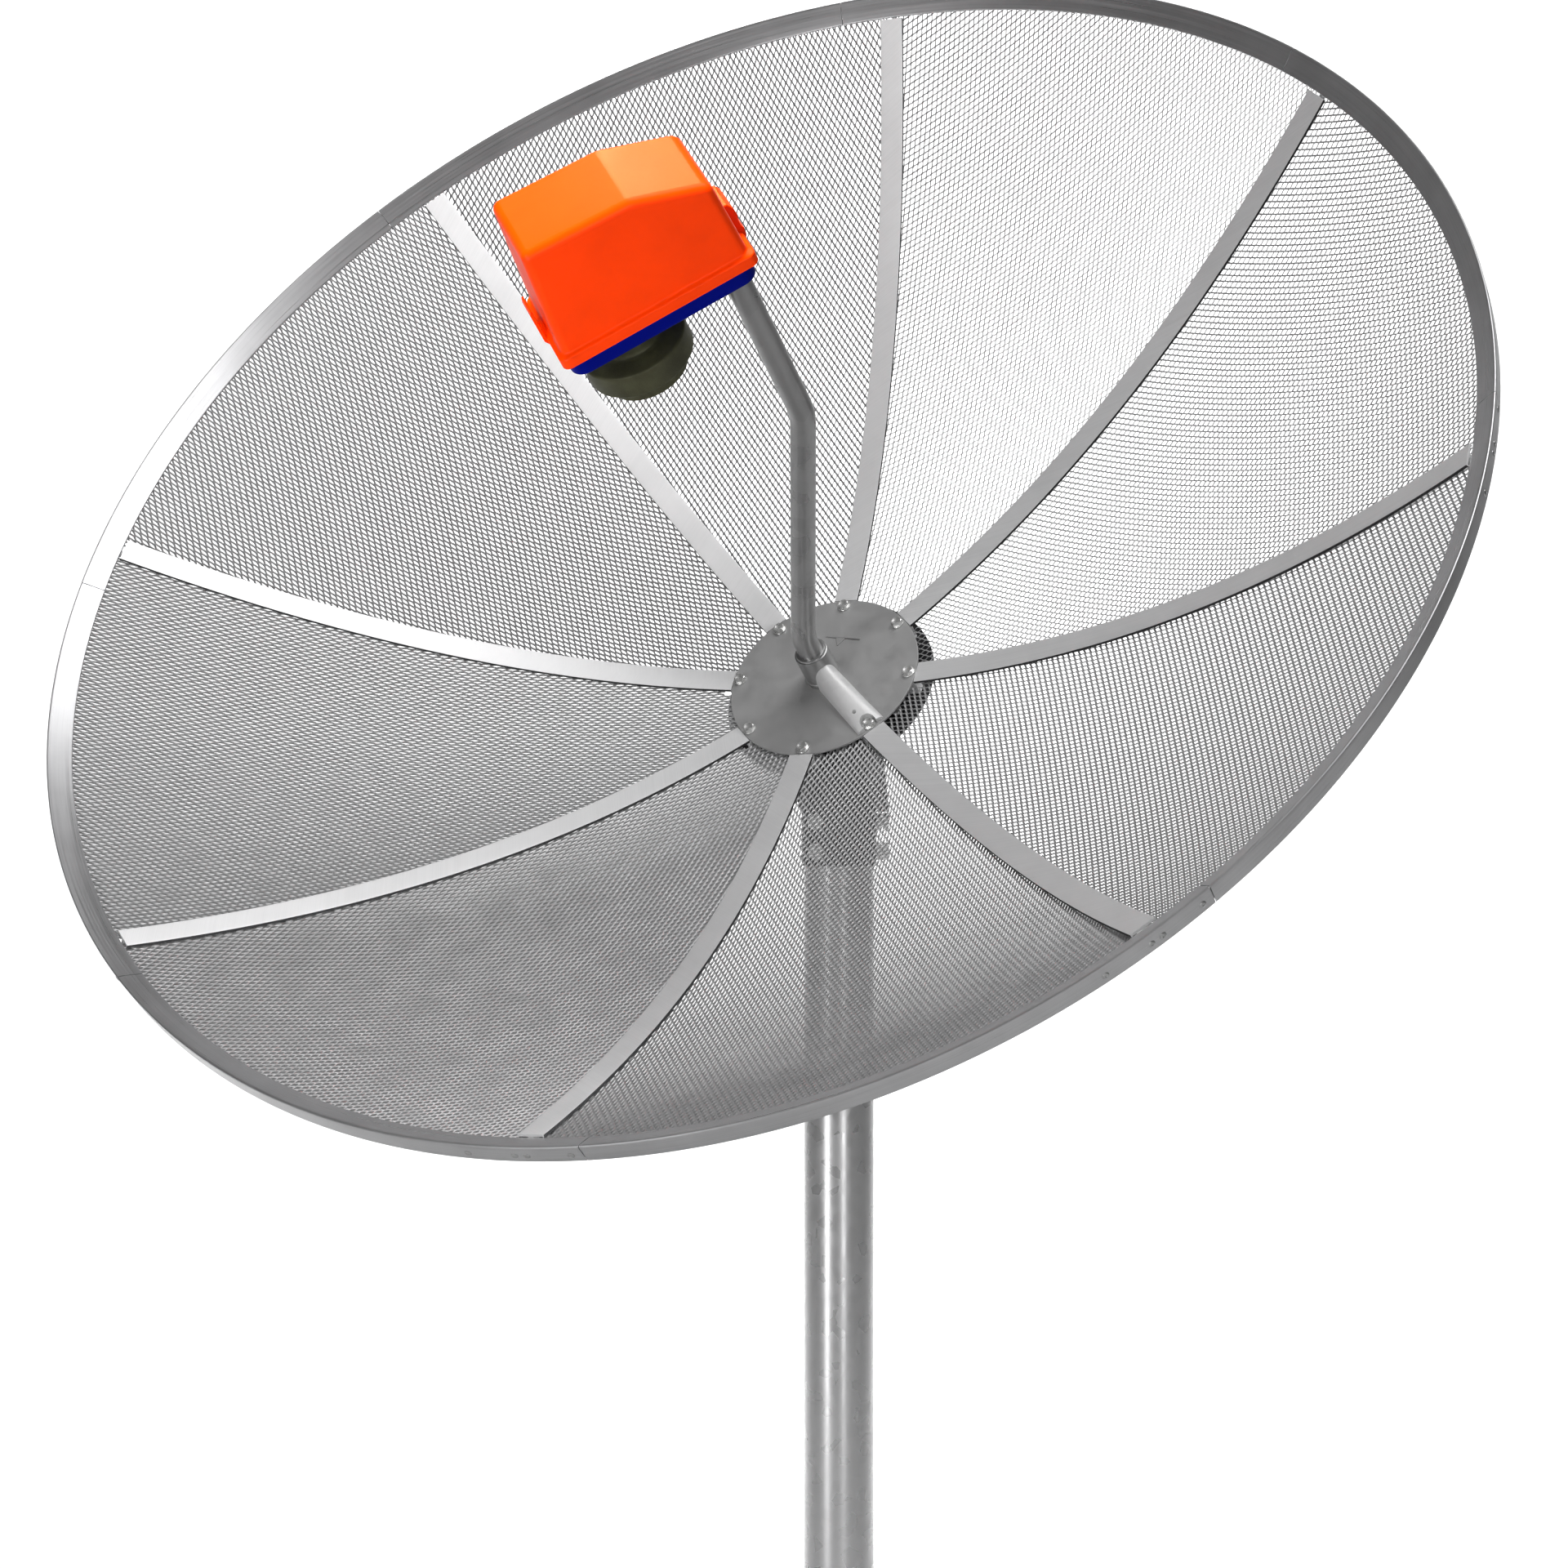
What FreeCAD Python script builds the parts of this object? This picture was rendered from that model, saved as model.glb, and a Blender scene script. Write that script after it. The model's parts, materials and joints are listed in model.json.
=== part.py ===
import FreeCAD, Part
import math
import os
import Sketcher

# Mesh satellite dish on a round mast. Millimetres, +Z up, origin on the mast's axis at the
# underside of the base flange. The dish faces -Y and is tipped up.
SIZES = {
    # reflector
    "focal": 489.5, "dish_tilt": 37.56, "dish_roll": 2.09, "vertex_height": 1310, "vertex_ahead": 30,
    "rib_tip": 728.5, "rib_wide": 26, "rib_proud": 4.5, "rib_skin": 2.0, "rib_web": 3.0,
    "rib_deep": 9, "mesh_thick": 1.5, "mesh_inner": 98, "mesh_outer": 744, "web_gap": 1.8,
    "rim_inner": 729, "rim_outer": 750, "rim_proud": 3.0, "rim_skin": 2.0, "rim_wall": 2.5,
    "rim_deep": 22, "rim_arc": 44.92, "seam_lead": 4.6, "splice_arc": 9.6,
    # hub
    "hub_radius": 103.5, "bolt_circle": 95.5, "hub_front": 10, "hub_skin": 2.5, "hub_back": -10,
    "back_skin": 3, "back_radius": 114, "bolt_shank": 3.0, "bolt_hole": 3.2, "head_flat": 10.5, "head_high": 4.0,
    "washer_radius": 7.0, "washer_high": 1.2, "back_circle": 91,
    # arm
    "collar_radius": 18, "collar_long": 42, "arm_radius": 12.7, "arm_wall": 1.8,
    "arm_knee": 73, "arm_elbow": 364, "arm_end": 560, "arm_aside": 105.4, "arm_turn": 16.5,
    "arm_bend": 80, "brace_wide": 27,
    # feed
    "tray_low": 546, "tray_thick": 19, "tray_long": 193, "tray_wide": 104, "tray_turn": 36.2,
    "tray_out": 22, "tray_side": -3.7, "horn_out": -10.5, "horn_side": 7.7,
    "neck_radius": 33, "neck_clear": 0.06, "cover_tall": 129, "cover_side": 96,
    "cover_fold": 21, "cover_bend": 123.5,
    "cover_long": 194, "cover_wide": 104, "cover_roof": 100, "cover_wall": 3,
    "mouth_radius": 53, "ring_radius": 41, "horn_mouth": 484, "horn_ring": 468,
    # mast and head
    "mast_radius": 36.5, "mast_wall": 5.2, "mast_top": 1194.8, "sleeve_radius": 39.4,
    "sleeve_gap": 0.1, "sleeve_low": 1118, "sleeve_high": 1195, "cap_thick": 6, "saddle_tall": 31,
    "set_bolt_turn": 26,
    "pivot_height": 1240, "cheek_inner": 38.2, "cheek_thick": 5.5, "pivot_radius": 6,
    "lock_radius": 5, "lock_arm": 36, "lock_rise": 47.5, "slot_half": 5.3,
    "ear_outer": 37.6, "ear_thick": 5, "base_side": 260, "base_thick": 10,
    "base_hole": 7, "base_pitch": 200,
}

doc = FreeCAD.newDocument("satellite_dish")
sheet = doc.addObject("Spreadsheet::Sheet", "dims")
for row, (name, value) in enumerate(SIZES.items(), 1):
    sheet.set("A%d" % row, name)
    sheet.set("B%d" % row, str(value))
    sheet.setAlias("B%d" % row, name)
doc.recompute()
S = {name: float(sheet.get(name)) for name in SIZES}
V = FreeCAD.Vector
nodes = []


# ---------------------------------------------------------------- frames
def turn(axis, angle, at=(0, 0, 0)):
    return FreeCAD.Placement(V(*at), FreeCAD.Rotation(V(*axis), angle))


WORLD = FreeCAD.Placement()
TILT = turn((1, 0, 0), 90 - S["dish_tilt"], (0, -S["vertex_ahead"], S["vertex_height"]))
DISH = TILT.multiply(turn((0, 0, 1), S["dish_roll"]))
FEED = DISH.multiply(turn((0, 0, 1), S["tray_turn"]))


def around(angle, frame=None):
    """A frame turned about the dish axis, with +X along a spoke."""
    return (frame or DISH).multiply(turn((0, 0, 1), angle))


# ---------------------------------------------------------------- sketch and feature helpers
def poly(*pts):
    ends = list(pts[1:]) + [pts[0]]
    return [Part.LineSegment(V(a[0], a[1], 0), V(b[0], b[1], 0)) for a, b in zip(pts, ends)]


def circle(x, y, radius):
    return [Part.Circle(V(x, y, 0), V(0, 0, 1), radius)]


def spline(a, mid, b):
    curve = Part.BSplineCurve()
    poles = [V(p[0], p[1], 0) for p in (a, mid, b)]
    curve.buildFromPolesMultsKnots(poles, [3, 3], [0, 1], False, 2)
    return curve


def bowl(r, off=0.0):
    """Height of the dish's curve at radius r, moved off along its own normal."""
    return r * r / (4 * S["focal"]) + off * math.sqrt(1 + (r / (2 * S["focal"])) ** 2)


def bowl_edge(r_a, r_b, off):
    """The exact parabola arc between two radii, for a sketch in a spoke's plane."""
    k = (bowl(S["rim_inner"], off) - off) / S["rim_inner"] ** 2
    return spline((r_a, k * r_a**2 + off), ((r_a + r_b) / 2, k * r_a * r_b + off),
                  (r_b, k * r_b**2 + off))


def bowl_band(r_a, r_b, low, high):
    """Closed outline between two offsets of the curve."""
    top, bottom = bowl_edge(r_a, r_b, high), bowl_edge(r_b, r_a, low)
    return [top, Part.LineSegment(top.EndPoint, bottom.StartPoint), bottom,
            Part.LineSegment(bottom.EndPoint, top.StartPoint)]


def body(label, frame):
    made = doc.addObject("PartDesign::Body", label)
    made.Label = label
    made.Placement = frame
    nodes.append(made)
    return made


def sketch(owner, role, shapes, lift=None):
    made = owner.newObject("Sketcher::SketchObject", owner.Label + "_outline")
    base = [f for f in owner.Origin.OriginFeatures if f.Role == role][0]
    made.AttachmentSupport = [(base, "")]
    made.MapMode = "FlatFace"
    if lift:
        made.setExpression("AttachmentOffset.Base.z", lift)
    for item in shapes:
        made.addGeometry(item, False)
    return made


def bind(made, exprs):
    for name, text in exprs.items():
        made.setExpression(name, text)
    return made


def pad(owner, role, shapes, length, lift=None, mid=False):
    made = owner.newObject("PartDesign::Pad", owner.Label + "_pad")
    made.Profile = sketch(owner, role, shapes, lift)
    made.Midplane = mid
    return bind(made, {"Length": length})


def cut(owner, role, shapes, lift=None):
    made = owner.newObject("PartDesign::Pocket", owner.Label + "_pocket")
    made.Profile = sketch(owner, role, shapes, lift)
    made.Midplane = True
    made.Type = "Length"
    made.Length = 3000
    return made


def spin(owner, shapes, angle="360", mid=True):
    made = owner.newObject("PartDesign::Revolution", owner.Label + "_turn")
    outline = sketch(owner, "XZ_Plane", shapes)
    made.Profile = outline
    made.ReferenceAxis = (outline, ["V_Axis"])
    made.Midplane = mid
    return bind(made, {"Angle": angle})


def ring_of(owner, count):
    """Repeats a body's last feature evenly about its own Z axis."""
    made = owner.newObject("PartDesign::PolarPattern", owner.Label + "_ring")
    made.Originals = [owner.Tip]
    made.Axis = ([f for f in owner.Origin.OriginFeatures if f.Role == "Z_Axis"][0], [""])
    made.Angle = 360
    made.Occurrences = count
    owner.Tip = made
    return made


def soften(owner, kind, size, pick):
    """Rounds or chamfers the edges of the last feature that pick accepts."""
    doc.recompute()
    base = owner.Tip
    names = ["Edge%d" % (i + 1) for i, e in enumerate(base.Shape.Edges) if pick(e)]
    if not names:
        raise RuntimeError("no edge to soften on " + owner.Label)
    made = owner.newObject("PartDesign::" + kind, owner.Label + "_soft")
    made.Base = (base, names)
    setattr(made, "Radius" if kind == "Fillet" else "Size", size)
    doc.recompute()
    return made


def along(edge, way):
    if not isinstance(edge.Curve, Part.Line):
        return False
    return abs(abs(edge.Curve.Direction.dot(V(*way))) - 1) < 1e-4


def stack(label, frame, spots, layers):
    """Turned and hexagonal layers along +Z at each spot: bolts, nuts, washers and rivets."""
    pieces = []
    for spot in spots:
        for kind, wide, low, high in layers:
            if kind == "hex":
                piece = doc.addObject("Part::Prism", label + "_hex")
                piece.Polygon = 6
                bind(piece, {"Circumradius": wide, "Height": high + " - (" + low + ")"})
            else:
                piece = doc.addObject("Part::Cylinder", label + "_round")
                bind(piece, {"Radius": wide, "Height": high + " - (" + low + ")"})
            start = eval_cell(low)
            piece.Placement = spot.multiply(turn((0, 0, 1), 0, (0, 0, start)))
            pieces.append(piece)
    made = doc.addObject("Part::MultiFuse", label)
    made.Shapes = pieces
    made.Refine = True
    made.Label = label
    made.Placement = frame
    nodes.append(made)
    return made


def eval_cell(text):
    """The number that a sum of cells and plain numbers comes to."""
    total, sign = 0.0, 1
    for word in text.replace("-", " - ").replace("+", " + ").split():
        if word in "+-":
            sign = 1 if word == "+" else -1
        else:
            total += sign * (S[word[5:]] if word.startswith("dims.") else float(word))
            sign = 1
    return total


# ---------------------------------------------------------------- mast
half, pitch = S["base_side"] / 2, S["base_pitch"] / 2
base = body("base_flange", WORLD)
pad(base, "XY_Plane", poly((-half, -half), (half, -half), (half, half), (-half, half)),
    "dims.base_thick")
cut(base, "XY_Plane", [g for x in (-pitch, pitch) for y in (-pitch, pitch)
                       for g in circle(x, y, S["base_hole"])])
soften(base, "Fillet", 18, lambda e: along(e, (0, 0, 1)))

gussets = body("base_gussets", WORLD)
r0, z0 = S["mast_radius"], S["base_thick"]
pad(gussets, "XZ_Plane", poly((r0, z0), (r0 + 78, z0), (r0 + 78, z0 + 14), (r0 + 14, z0 + 96),
                              (r0, z0 + 96)), "8", mid=True)
ring_of(gussets, 4)

pole = body("mast_pole", WORLD)
pad(pole, "XY_Plane", circle(0, 0, S["mast_radius"])
    + circle(0, 0, S["mast_radius"] - S["mast_wall"]), "dims.mast_top - dims.base_thick",
    "dims.base_thick")

# ---------------------------------------------------------------- azimuth head
sleeve = body("mast_sleeve", WORLD)
pad(sleeve, "XY_Plane", circle(0, 0, S["sleeve_radius"])
    + circle(0, 0, S["mast_radius"] + S["sleeve_gap"]), "dims.sleeve_high - dims.sleeve_low",
    "dims.sleeve_low")
set_rows = (S["vertex_height"] - 146, S["vertex_height"] - 177)
set_sides = [S["set_bolt_turn"] + a for a in (0, 120, 240)]
for side in set_sides:
    for level in set_rows:
        hole = sleeve.newObject("PartDesign::SubtractiveCylinder", "set_hole")
        hole.Placement = turn((0, 0, 1), side, (0, 0, level)).multiply(
            turn((0, 1, 0), 90, (20, 0, 0)))
        bind(hole, {"Radius": "dims.lock_radius"})
        hole.Height = 40

cap = body("sleeve_cap", WORLD)
pad(cap, "XY_Plane", circle(0, 0, S["sleeve_radius"]), "dims.cap_thick", "dims.sleeve_high")
# a saddle block fills the room between the bracket's ears, below the pivot bolt
pad(cap, "XY_Plane", poly((-31.5, -14), (31.5, -14), (31.5, 14), (-31.5, 14)),
    "dims.saddle_tall", "dims.sleeve_high + dims.cap_thick")

rise = math.radians(S["lock_rise"])
lock_at = (-S["lock_arm"] * math.cos(rise), S["pivot_height"] + S["lock_arm"] * math.sin(rise))
for name, side in (("cheek_left", -1), ("cheek_right", 1)):
    cheek = body(name, turn((0, 0, 1), 0, (side * (S["cheek_inner"] + S["cheek_thick"] / 2), 0, 0)))
    top = S["pivot_height"]
    pad(cheek, "YZ_Plane", poly((-2, 1175), (32, 1174), (24, 1206), (14, top + 4),
                                (8, top + 24), (-10, top + 42), (-34, top + 42),
                                (-41, top + 24), (-30, top - 8), (-25, 1207)),
        "dims.cheek_thick", mid=True)
    cut(cheek, "XY_Plane", circle(-side * (S["cheek_inner"] + S["cheek_thick"] / 2), 0,
                                  S["sleeve_radius"]))
    # the groove for the sleeve stops at the cap, so the plate above it is whole again
    pad(cheek, "YZ_Plane", poly((-24, S["sleeve_high"] + 6.2), (20, S["sleeve_high"] + 6.2),
                                (12, top + 6), (-24, top + 6)), "dims.cheek_thick", mid=True)
    cut(cheek, "YZ_Plane", circle(0, top, S["pivot_radius"] + 0.05)
        + circle(lock_at[0], lock_at[1], S["lock_radius"] + 0.05))
    soften(cheek, "Fillet", 6, lambda e: along(e, (1, 0, 0)) and e.Vertexes[0].Point.z > 1200
           and e.Vertexes[0].Point.y < -32)

out_x = S["cheek_inner"] + S["cheek_thick"]
radial = [turn((0, 0, 1), a, (0, 0, z)).multiply(turn((0, 1, 0), 90))
          for a in set_sides for z in set_rows]


def ring_nut(label, spots, low, high, wide, bore):
    """Hexagon rings, for nuts with a shank through them."""
    pieces = []
    for spot in spots:
        block = doc.addObject("Part::Prism", label + "_block")
        block.Polygon = 6
        bind(block, {"Circumradius": wide, "Height": high + " - (" + low + ")"})
        drill = doc.addObject("Part::Cylinder", label + "_drill")
        bind(drill, {"Radius": bore, "Height": high + " - (" + low + ")"})
        nut = doc.addObject("Part::Cut", label + "_nut")
        nut.Base, nut.Tool = block, drill
        nut.Placement = spot.multiply(turn((0, 0, 1), 0, (0, 0, eval_cell(low))))
        pieces.append(nut)
    if len(pieces) == 1:
        made = pieces[0]
        made.Placement = FreeCAD.Placement(made.Placement)
    else:
        made = doc.addObject("Part::MultiFuse", label)
        made.Shapes = pieces
    made.Label = label
    nodes.append(made)
    return made


ring_nut("azimuth_nuts", radial, "dims.sleeve_radius", "dims.sleeve_radius + 5.5", "9.2",
         "dims.lock_radius")
stack("azimuth_bolts", WORLD, radial, [
    ("round", "dims.lock_radius - 0.1", "dims.mast_radius + 0.35", "dims.sleeve_radius + 6.5"),
    ("hex", "9.2", "dims.sleeve_radius + 6.5", "dims.sleeve_radius + 13")])
across = turn((0, 1, 0), 90, (0, 0, S["pivot_height"]))
stack("pivot_bolt", WORLD, [across], [
    ("hex", "10.4", "-" + str(out_x + 7.5), "-" + str(out_x)),
    ("round", "dims.pivot_radius", "-" + str(out_x), str(out_x + 16))])
ring_nut("pivot_nut", [across], str(out_x), str(out_x + 10), "10.4", "dims.pivot_radius")
lock = turn((0, 1, 0), 90, (0, lock_at[0], lock_at[1]))
stack("lock_bolt", WORLD, [lock], [
    ("hex", "9.2", "-" + str(out_x + 6.4), "-" + str(out_x)),
    ("round", "dims.lock_radius", "-" + str(out_x), str(out_x + 12))])
ring_nut("lock_nut", [lock], str(out_x), str(out_x + 8), "9.2", "dims.lock_radius")

# ---------------------------------------------------------------- tilt bracket and hub
gap = S["hub_back"] - S["back_skin"]
pv = TILT.inverse().multVec(V(0, 0, S["pivot_height"]))
bracket = body("tilt_bracket", TILT)
ear_x = S["ear_outer"]
# the lower corners are cut back to clear two of the bolts behind the hub
pad(bracket, "XY_Plane", poly((-18, pv.y - 47), (18, pv.y - 47), (ear_x, pv.y - 33),
                              (ear_x, pv.y + 78), (-ear_x, pv.y + 78), (-ear_x, pv.y - 33)),
    "dims.ear_thick",
    "dims.hub_back - dims.back_skin - dims.ear_thick")
fan = poly((pv.y - 33, gap - 4), (pv.y - 29, pv.z + 12), (pv.y - 13, pv.z - 13),
           (pv.y + 13, pv.z - 13), (pv.y + 46, pv.z + 14), (pv.y + 56, gap - 4))
for side in (-1, 1):
    middle = side * (ear_x - S["ear_thick"] / 2)
    wing = bracket.newObject("PartDesign::Pad", "ear_pad")
    outline = sketch(bracket, "YZ_Plane", fan)
    outline.AttachmentOffset = turn((0, 0, 1), 0, (0, 0, middle))
    wing.Profile = outline
    wing.Midplane = True
    bind(wing, {"Length": "dims.ear_thick"})
cut(bracket, "YZ_Plane", circle(pv.y, pv.z, S["pivot_radius"] + 0.05))
# the slot's middle line is an arc about the pivot; the lock bolt runs in it from end to end
low_end = math.radians(90 - (S["lock_rise"] - 9))
high_end = math.radians(90 - (S["lock_rise"] - 86))
ro, ri, rm = S["lock_arm"] + S["slot_half"], S["lock_arm"] - S["slot_half"], S["lock_arm"]


def polar(radius, angle):
    return V(pv.y + radius * math.cos(angle), pv.z + radius * math.sin(angle), 0)


def arc_of(radius, a, b):
    return Part.Arc(polar(radius, a), polar(radius, (a + b) / 2), polar(radius, b))


def end_cap(angle, way):
    tip = polar(rm, angle) + V(-math.sin(angle), math.cos(angle), 0) * way * S["slot_half"]
    return tip


slot = [arc_of(ro, low_end, high_end), arc_of(ri, low_end, high_end),
        Part.Arc(polar(ri, low_end), end_cap(low_end, -1), polar(ro, low_end)),
        Part.Arc(polar(ro, high_end), end_cap(high_end, 1), polar(ri, high_end))]
cut(bracket, "YZ_Plane", slot)
bracket_holes = [(x, y) for x in (-20, 20) for y in (pv.y - 34, pv.y + 62)]
cut(bracket, "XY_Plane", [g for x, y in bracket_holes for g in circle(x, y, 4.1)])

spokes = [90 - 45 * k for k in range(8)]


def ring_at(radius, angles, z=0.0):
    return [turn((0, 0, 1), 0, (radius * math.cos(math.radians(a)),
                                radius * math.sin(math.radians(a)), z)) for a in angles]


def ring_holes(radius, angles, size):
    return [g for p in ring_at(radius, angles) for g in circle(p.Base.x, p.Base.y, size)]


between = [a - 22.5 for a in spokes]
unroll = turn((0, 0, 1), -S["dish_roll"])
rolled = [tuple(unroll.multVec(V(x, y, 0)))[:2] for x, y in bracket_holes]
rear = body("rear_hub_plate", DISH)
pad(rear, "XY_Plane", circle(0, 0, S["back_radius"]), "dims.back_skin",
    "dims.hub_back - dims.back_skin")
cut(rear, "XY_Plane", ring_holes(S["bolt_circle"], spokes, S["bolt_hole"])
    + ring_holes(S["back_circle"], between, S["bolt_hole"])
    + [g for x, y in rolled for g in circle(x, y, 4.1)])
front = body("front_hub_plate", DISH)
pad(front, "XY_Plane", circle(0, 0, S["hub_radius"]), "dims.hub_skin",
    "dims.hub_front - dims.hub_skin")
cut(front, "XY_Plane", ring_holes(S["bolt_circle"], spokes, S["bolt_hole"])
    + circle(0, 0, S["arm_radius"] + 0.05))
soften(front, "Chamfer", 0.8, lambda e: abs(e.Vertexes[0].Point.z - S["hub_front"]) < 0.01
       and abs(e.Length - 2 * math.pi * S["hub_radius"]) < 1)
head = "dims.hub_front + dims.washer_high"
stack("hub_bolts", DISH, ring_at(S["bolt_circle"], spokes), [
    ("round", "dims.bolt_shank", "dims.hub_back - 11", "dims.hub_front"),
    ("round", "dims.washer_radius", "dims.hub_front", head),
    ("hex", "dims.head_flat * 0.577", head, head + " + dims.head_high")])
nuts = ring_nut("hub_nuts", ring_at(S["bolt_circle"], spokes), "dims.hub_back - 8",
                "dims.hub_back - 3", "dims.head_flat * 0.577", "dims.bolt_shank")
nuts.Placement = DISH
stack("back_bolts", DISH, ring_at(S["back_circle"], between), [
    ("hex", "5.8", "dims.hub_back - 7", "dims.hub_back - 3"),
    ("round", "dims.bolt_shank", "dims.hub_back - 3", "dims.hub_back"),
    ("round", "5.5", "dims.hub_back", "dims.hub_back + 3")])
stack("bracket_bolts", TILT, [turn((0, 0, 1), 0, (x, y, 0)) for x, y in bracket_holes], [
    ("hex", "7.5", "dims.hub_back - 14", "dims.hub_back - 8"),
    ("round", "4", "dims.hub_back - 8", "dims.hub_back"),
    ("round", "8", "dims.hub_back", "dims.hub_back + 4")])

collar = body("arm_collar", DISH)
spin(collar, poly((S["arm_radius"] + 0.05, S["hub_front"]),
                  (S["collar_radius"] + 3, S["hub_front"]),
                  (S["collar_radius"] + 3, S["hub_front"] + 2.2),
                  (S["collar_radius"], S["hub_front"] + 3.4),
                  (S["collar_radius"], S["hub_front"] + S["collar_long"] - 2),
                  (S["collar_radius"] - 1.5, S["hub_front"] + S["collar_long"]),
                  (S["arm_radius"] + 0.05, S["hub_front"] + S["collar_long"])))
hf = S["hub_front"]
brace = body("arm_brace", around(-45))


def mound(owner, half, high, at):
    """Outline of a rounded ridge on the hub's face, a distance out along the spoke."""
    made = sketch(owner, "YZ_Plane", [
        Part.Arc(V(-half, hf, 0), V(0, hf + high, 0), V(half, hf, 0)),
        Part.LineSegment(V(half, hf, 0), V(-half, hf, 0))])
    made.AttachmentOffset = turn((0, 0, 1), 0, (0, 0, at))
    return made


ridge = brace.newObject("PartDesign::AdditiveLoft", "brace_loft")
ridge.Profile = mound(brace, S["brace_wide"] / 2, 31, 12)
ridge.Sections = [mound(brace, 16, 5, 99)]
ridge.Ruled = True
cut(brace, "XY_Plane", circle(0, 0, S["collar_radius"] + 3.2))
cut(brace, "XY_Plane", circle(S["bolt_circle"], 0, S["washer_radius"] + 1.2))

# ---------------------------------------------------------------- ribs, mesh and rim
foot = S["hub_front"] - S["hub_skin"]
for k, angle in enumerate(spokes):
    rib = body("rib_%d" % k, around(angle))
    tip, w = S["rib_tip"], S["rib_wide"] / 2
    pad(rib, "XZ_Plane", bowl_band(104, tip, S["rib_proud"] - S["rib_skin"], S["rib_proud"]),
        "dims.rib_wide", mid=True)
    pad(rib, "XZ_Plane", bowl_band(104, tip, -S["rib_deep"],
                                   S["rib_proud"] - S["rib_skin"] / 2),
        "dims.rib_web", mid=True)
    pad(rib, "XZ_Plane", poly((84, S["hub_back"]), (106, S["hub_back"]), (106, foot),
                              (84, foot)), "dims.rib_wide", mid=True)
    low = bowl(tip, -S["rib_deep"])
    pad(rib, "XZ_Plane", poly((tip - 10, low - 2), (745.2, low + 8), (745.2, bowl(745, -2.5)),
                              (tip - 10, bowl(tip - 10, -2.5))), "dims.rib_web", mid=True)
    cut(rib, "XY_Plane", circle(S["bolt_circle"], 0, S["bolt_hole"]))

g, tilt = S["web_gap"], math.radians(22.5)


def strip(side):
    """Outline of the room left for a rib along one side of a mesh panel."""
    ux, uy = math.cos(tilt), side * math.sin(tilt)
    vx, vy = -uy, ux
    line = [(60, -13.4), (106.4, -13.4), (106.4, -g), (820, -g), (820, g), (106.4, g),
            (106.4, 13.4), (60, 13.4)]
    return poly(*[(a * ux + b * vx, a * uy + b * vy) for a, b in line])


for k, angle in enumerate(between):
    gore = body("mesh_panel_%d" % k, around(angle))
    spin(gore, bowl_band(S["mesh_inner"], S["mesh_outer"], -S["mesh_thick"], 0), "45")
    cut(gore, "XY_Plane", strip(1) + strip(-1))

zi = bowl(S["rim_inner"], S["rim_proud"])
zo = bowl(S["rim_outer"], S["rim_proud"])
ro_, rw, sk = S["rim_outer"], S["rim_wall"], S["rim_skin"] * 1.25
for k, angle in enumerate(spokes):
    rim = body("rim_segment_%d" % k, around(angle - 22.5 + S["seam_lead"]))
    spin(rim, poly((S["rim_inner"], zi), (ro_ - 1, zo), (ro_, zo - 1.4),
                   (ro_, zo - S["rim_deep"]), (ro_ - rw, zo - S["rim_deep"]),
                   (ro_ - rw, zo - 3.6), (S["rim_inner"], zi - sk)), "dims.rim_arc")
splices = body("rim_splices", around(spokes[0] + S["seam_lead"] * 0.45))
spin(splices, poly((ro_ - rw - 2, zo - 19), (ro_ - rw, zo - 19), (ro_ - rw, zo - 7),
                   (ro_ - rw - 2, zo - 7)), "dims.splice_arc")
ring_of(splices, 8)
studs = [around(angle + step, WORLD).multiply(turn((0, 1, 0), 90, (0, 0, zo - 12.5)))
         for angle in spokes for step in (-4.0, -0.45, 0.45, 3.7)]
rivets = stack("rim_rivets", DISH, studs, [
    ("round", "3.2", "dims.rim_outer", "dims.rim_outer + 1.3")])

# ---------------------------------------------------------------- arm
arm = body("feed_arm", around(S["arm_turn"]))
x1, za, zb, ze = S["arm_aside"], S["arm_knee"], S["arm_elbow"], S["arm_end"]
lean = math.atan2(x1, zb - za)
cutb = S["arm_bend"] * math.tan(lean / 2)
dx, dz = math.sin(lean) * cutb, math.cos(lean) * cutb
mid_a = (S["arm_bend"] * (1 - math.cos(lean / 2)), za - cutb + S["arm_bend"] * math.sin(lean / 2))
mid_b = (x1 - mid_a[0], zb + cutb - S["arm_bend"] * math.sin(lean / 2))
stops = [(0, 8), (0, za - cutb), (dx, za + dz), (x1 - dx, zb - dz), (x1, zb + cutb), (x1, ze)]
flat = [V(p[0], p[1], 0) for p in stops]
path = sketch(arm, "XZ_Plane", [
    Part.LineSegment(flat[0], flat[1]), Part.Arc(flat[1], V(mid_a[0], mid_a[1], 0), flat[2]),
    Part.LineSegment(flat[2], flat[3]), Part.Arc(flat[3], V(mid_b[0], mid_b[1], 0), flat[4]),
    Part.LineSegment(flat[4], flat[5])])
tube = arm.newObject("PartDesign::AdditivePipe", "arm_pipe")
ends = sketch(arm, "XY_Plane", circle(0, 0, S["arm_radius"])
              + circle(0, 0, S["arm_radius"] - S["arm_wall"]))
ends.AttachmentOffset = turn((0, 0, 1), 0, (0, 0, 8))
tube.Profile = ends
tube.Spine = (path, [])

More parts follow.
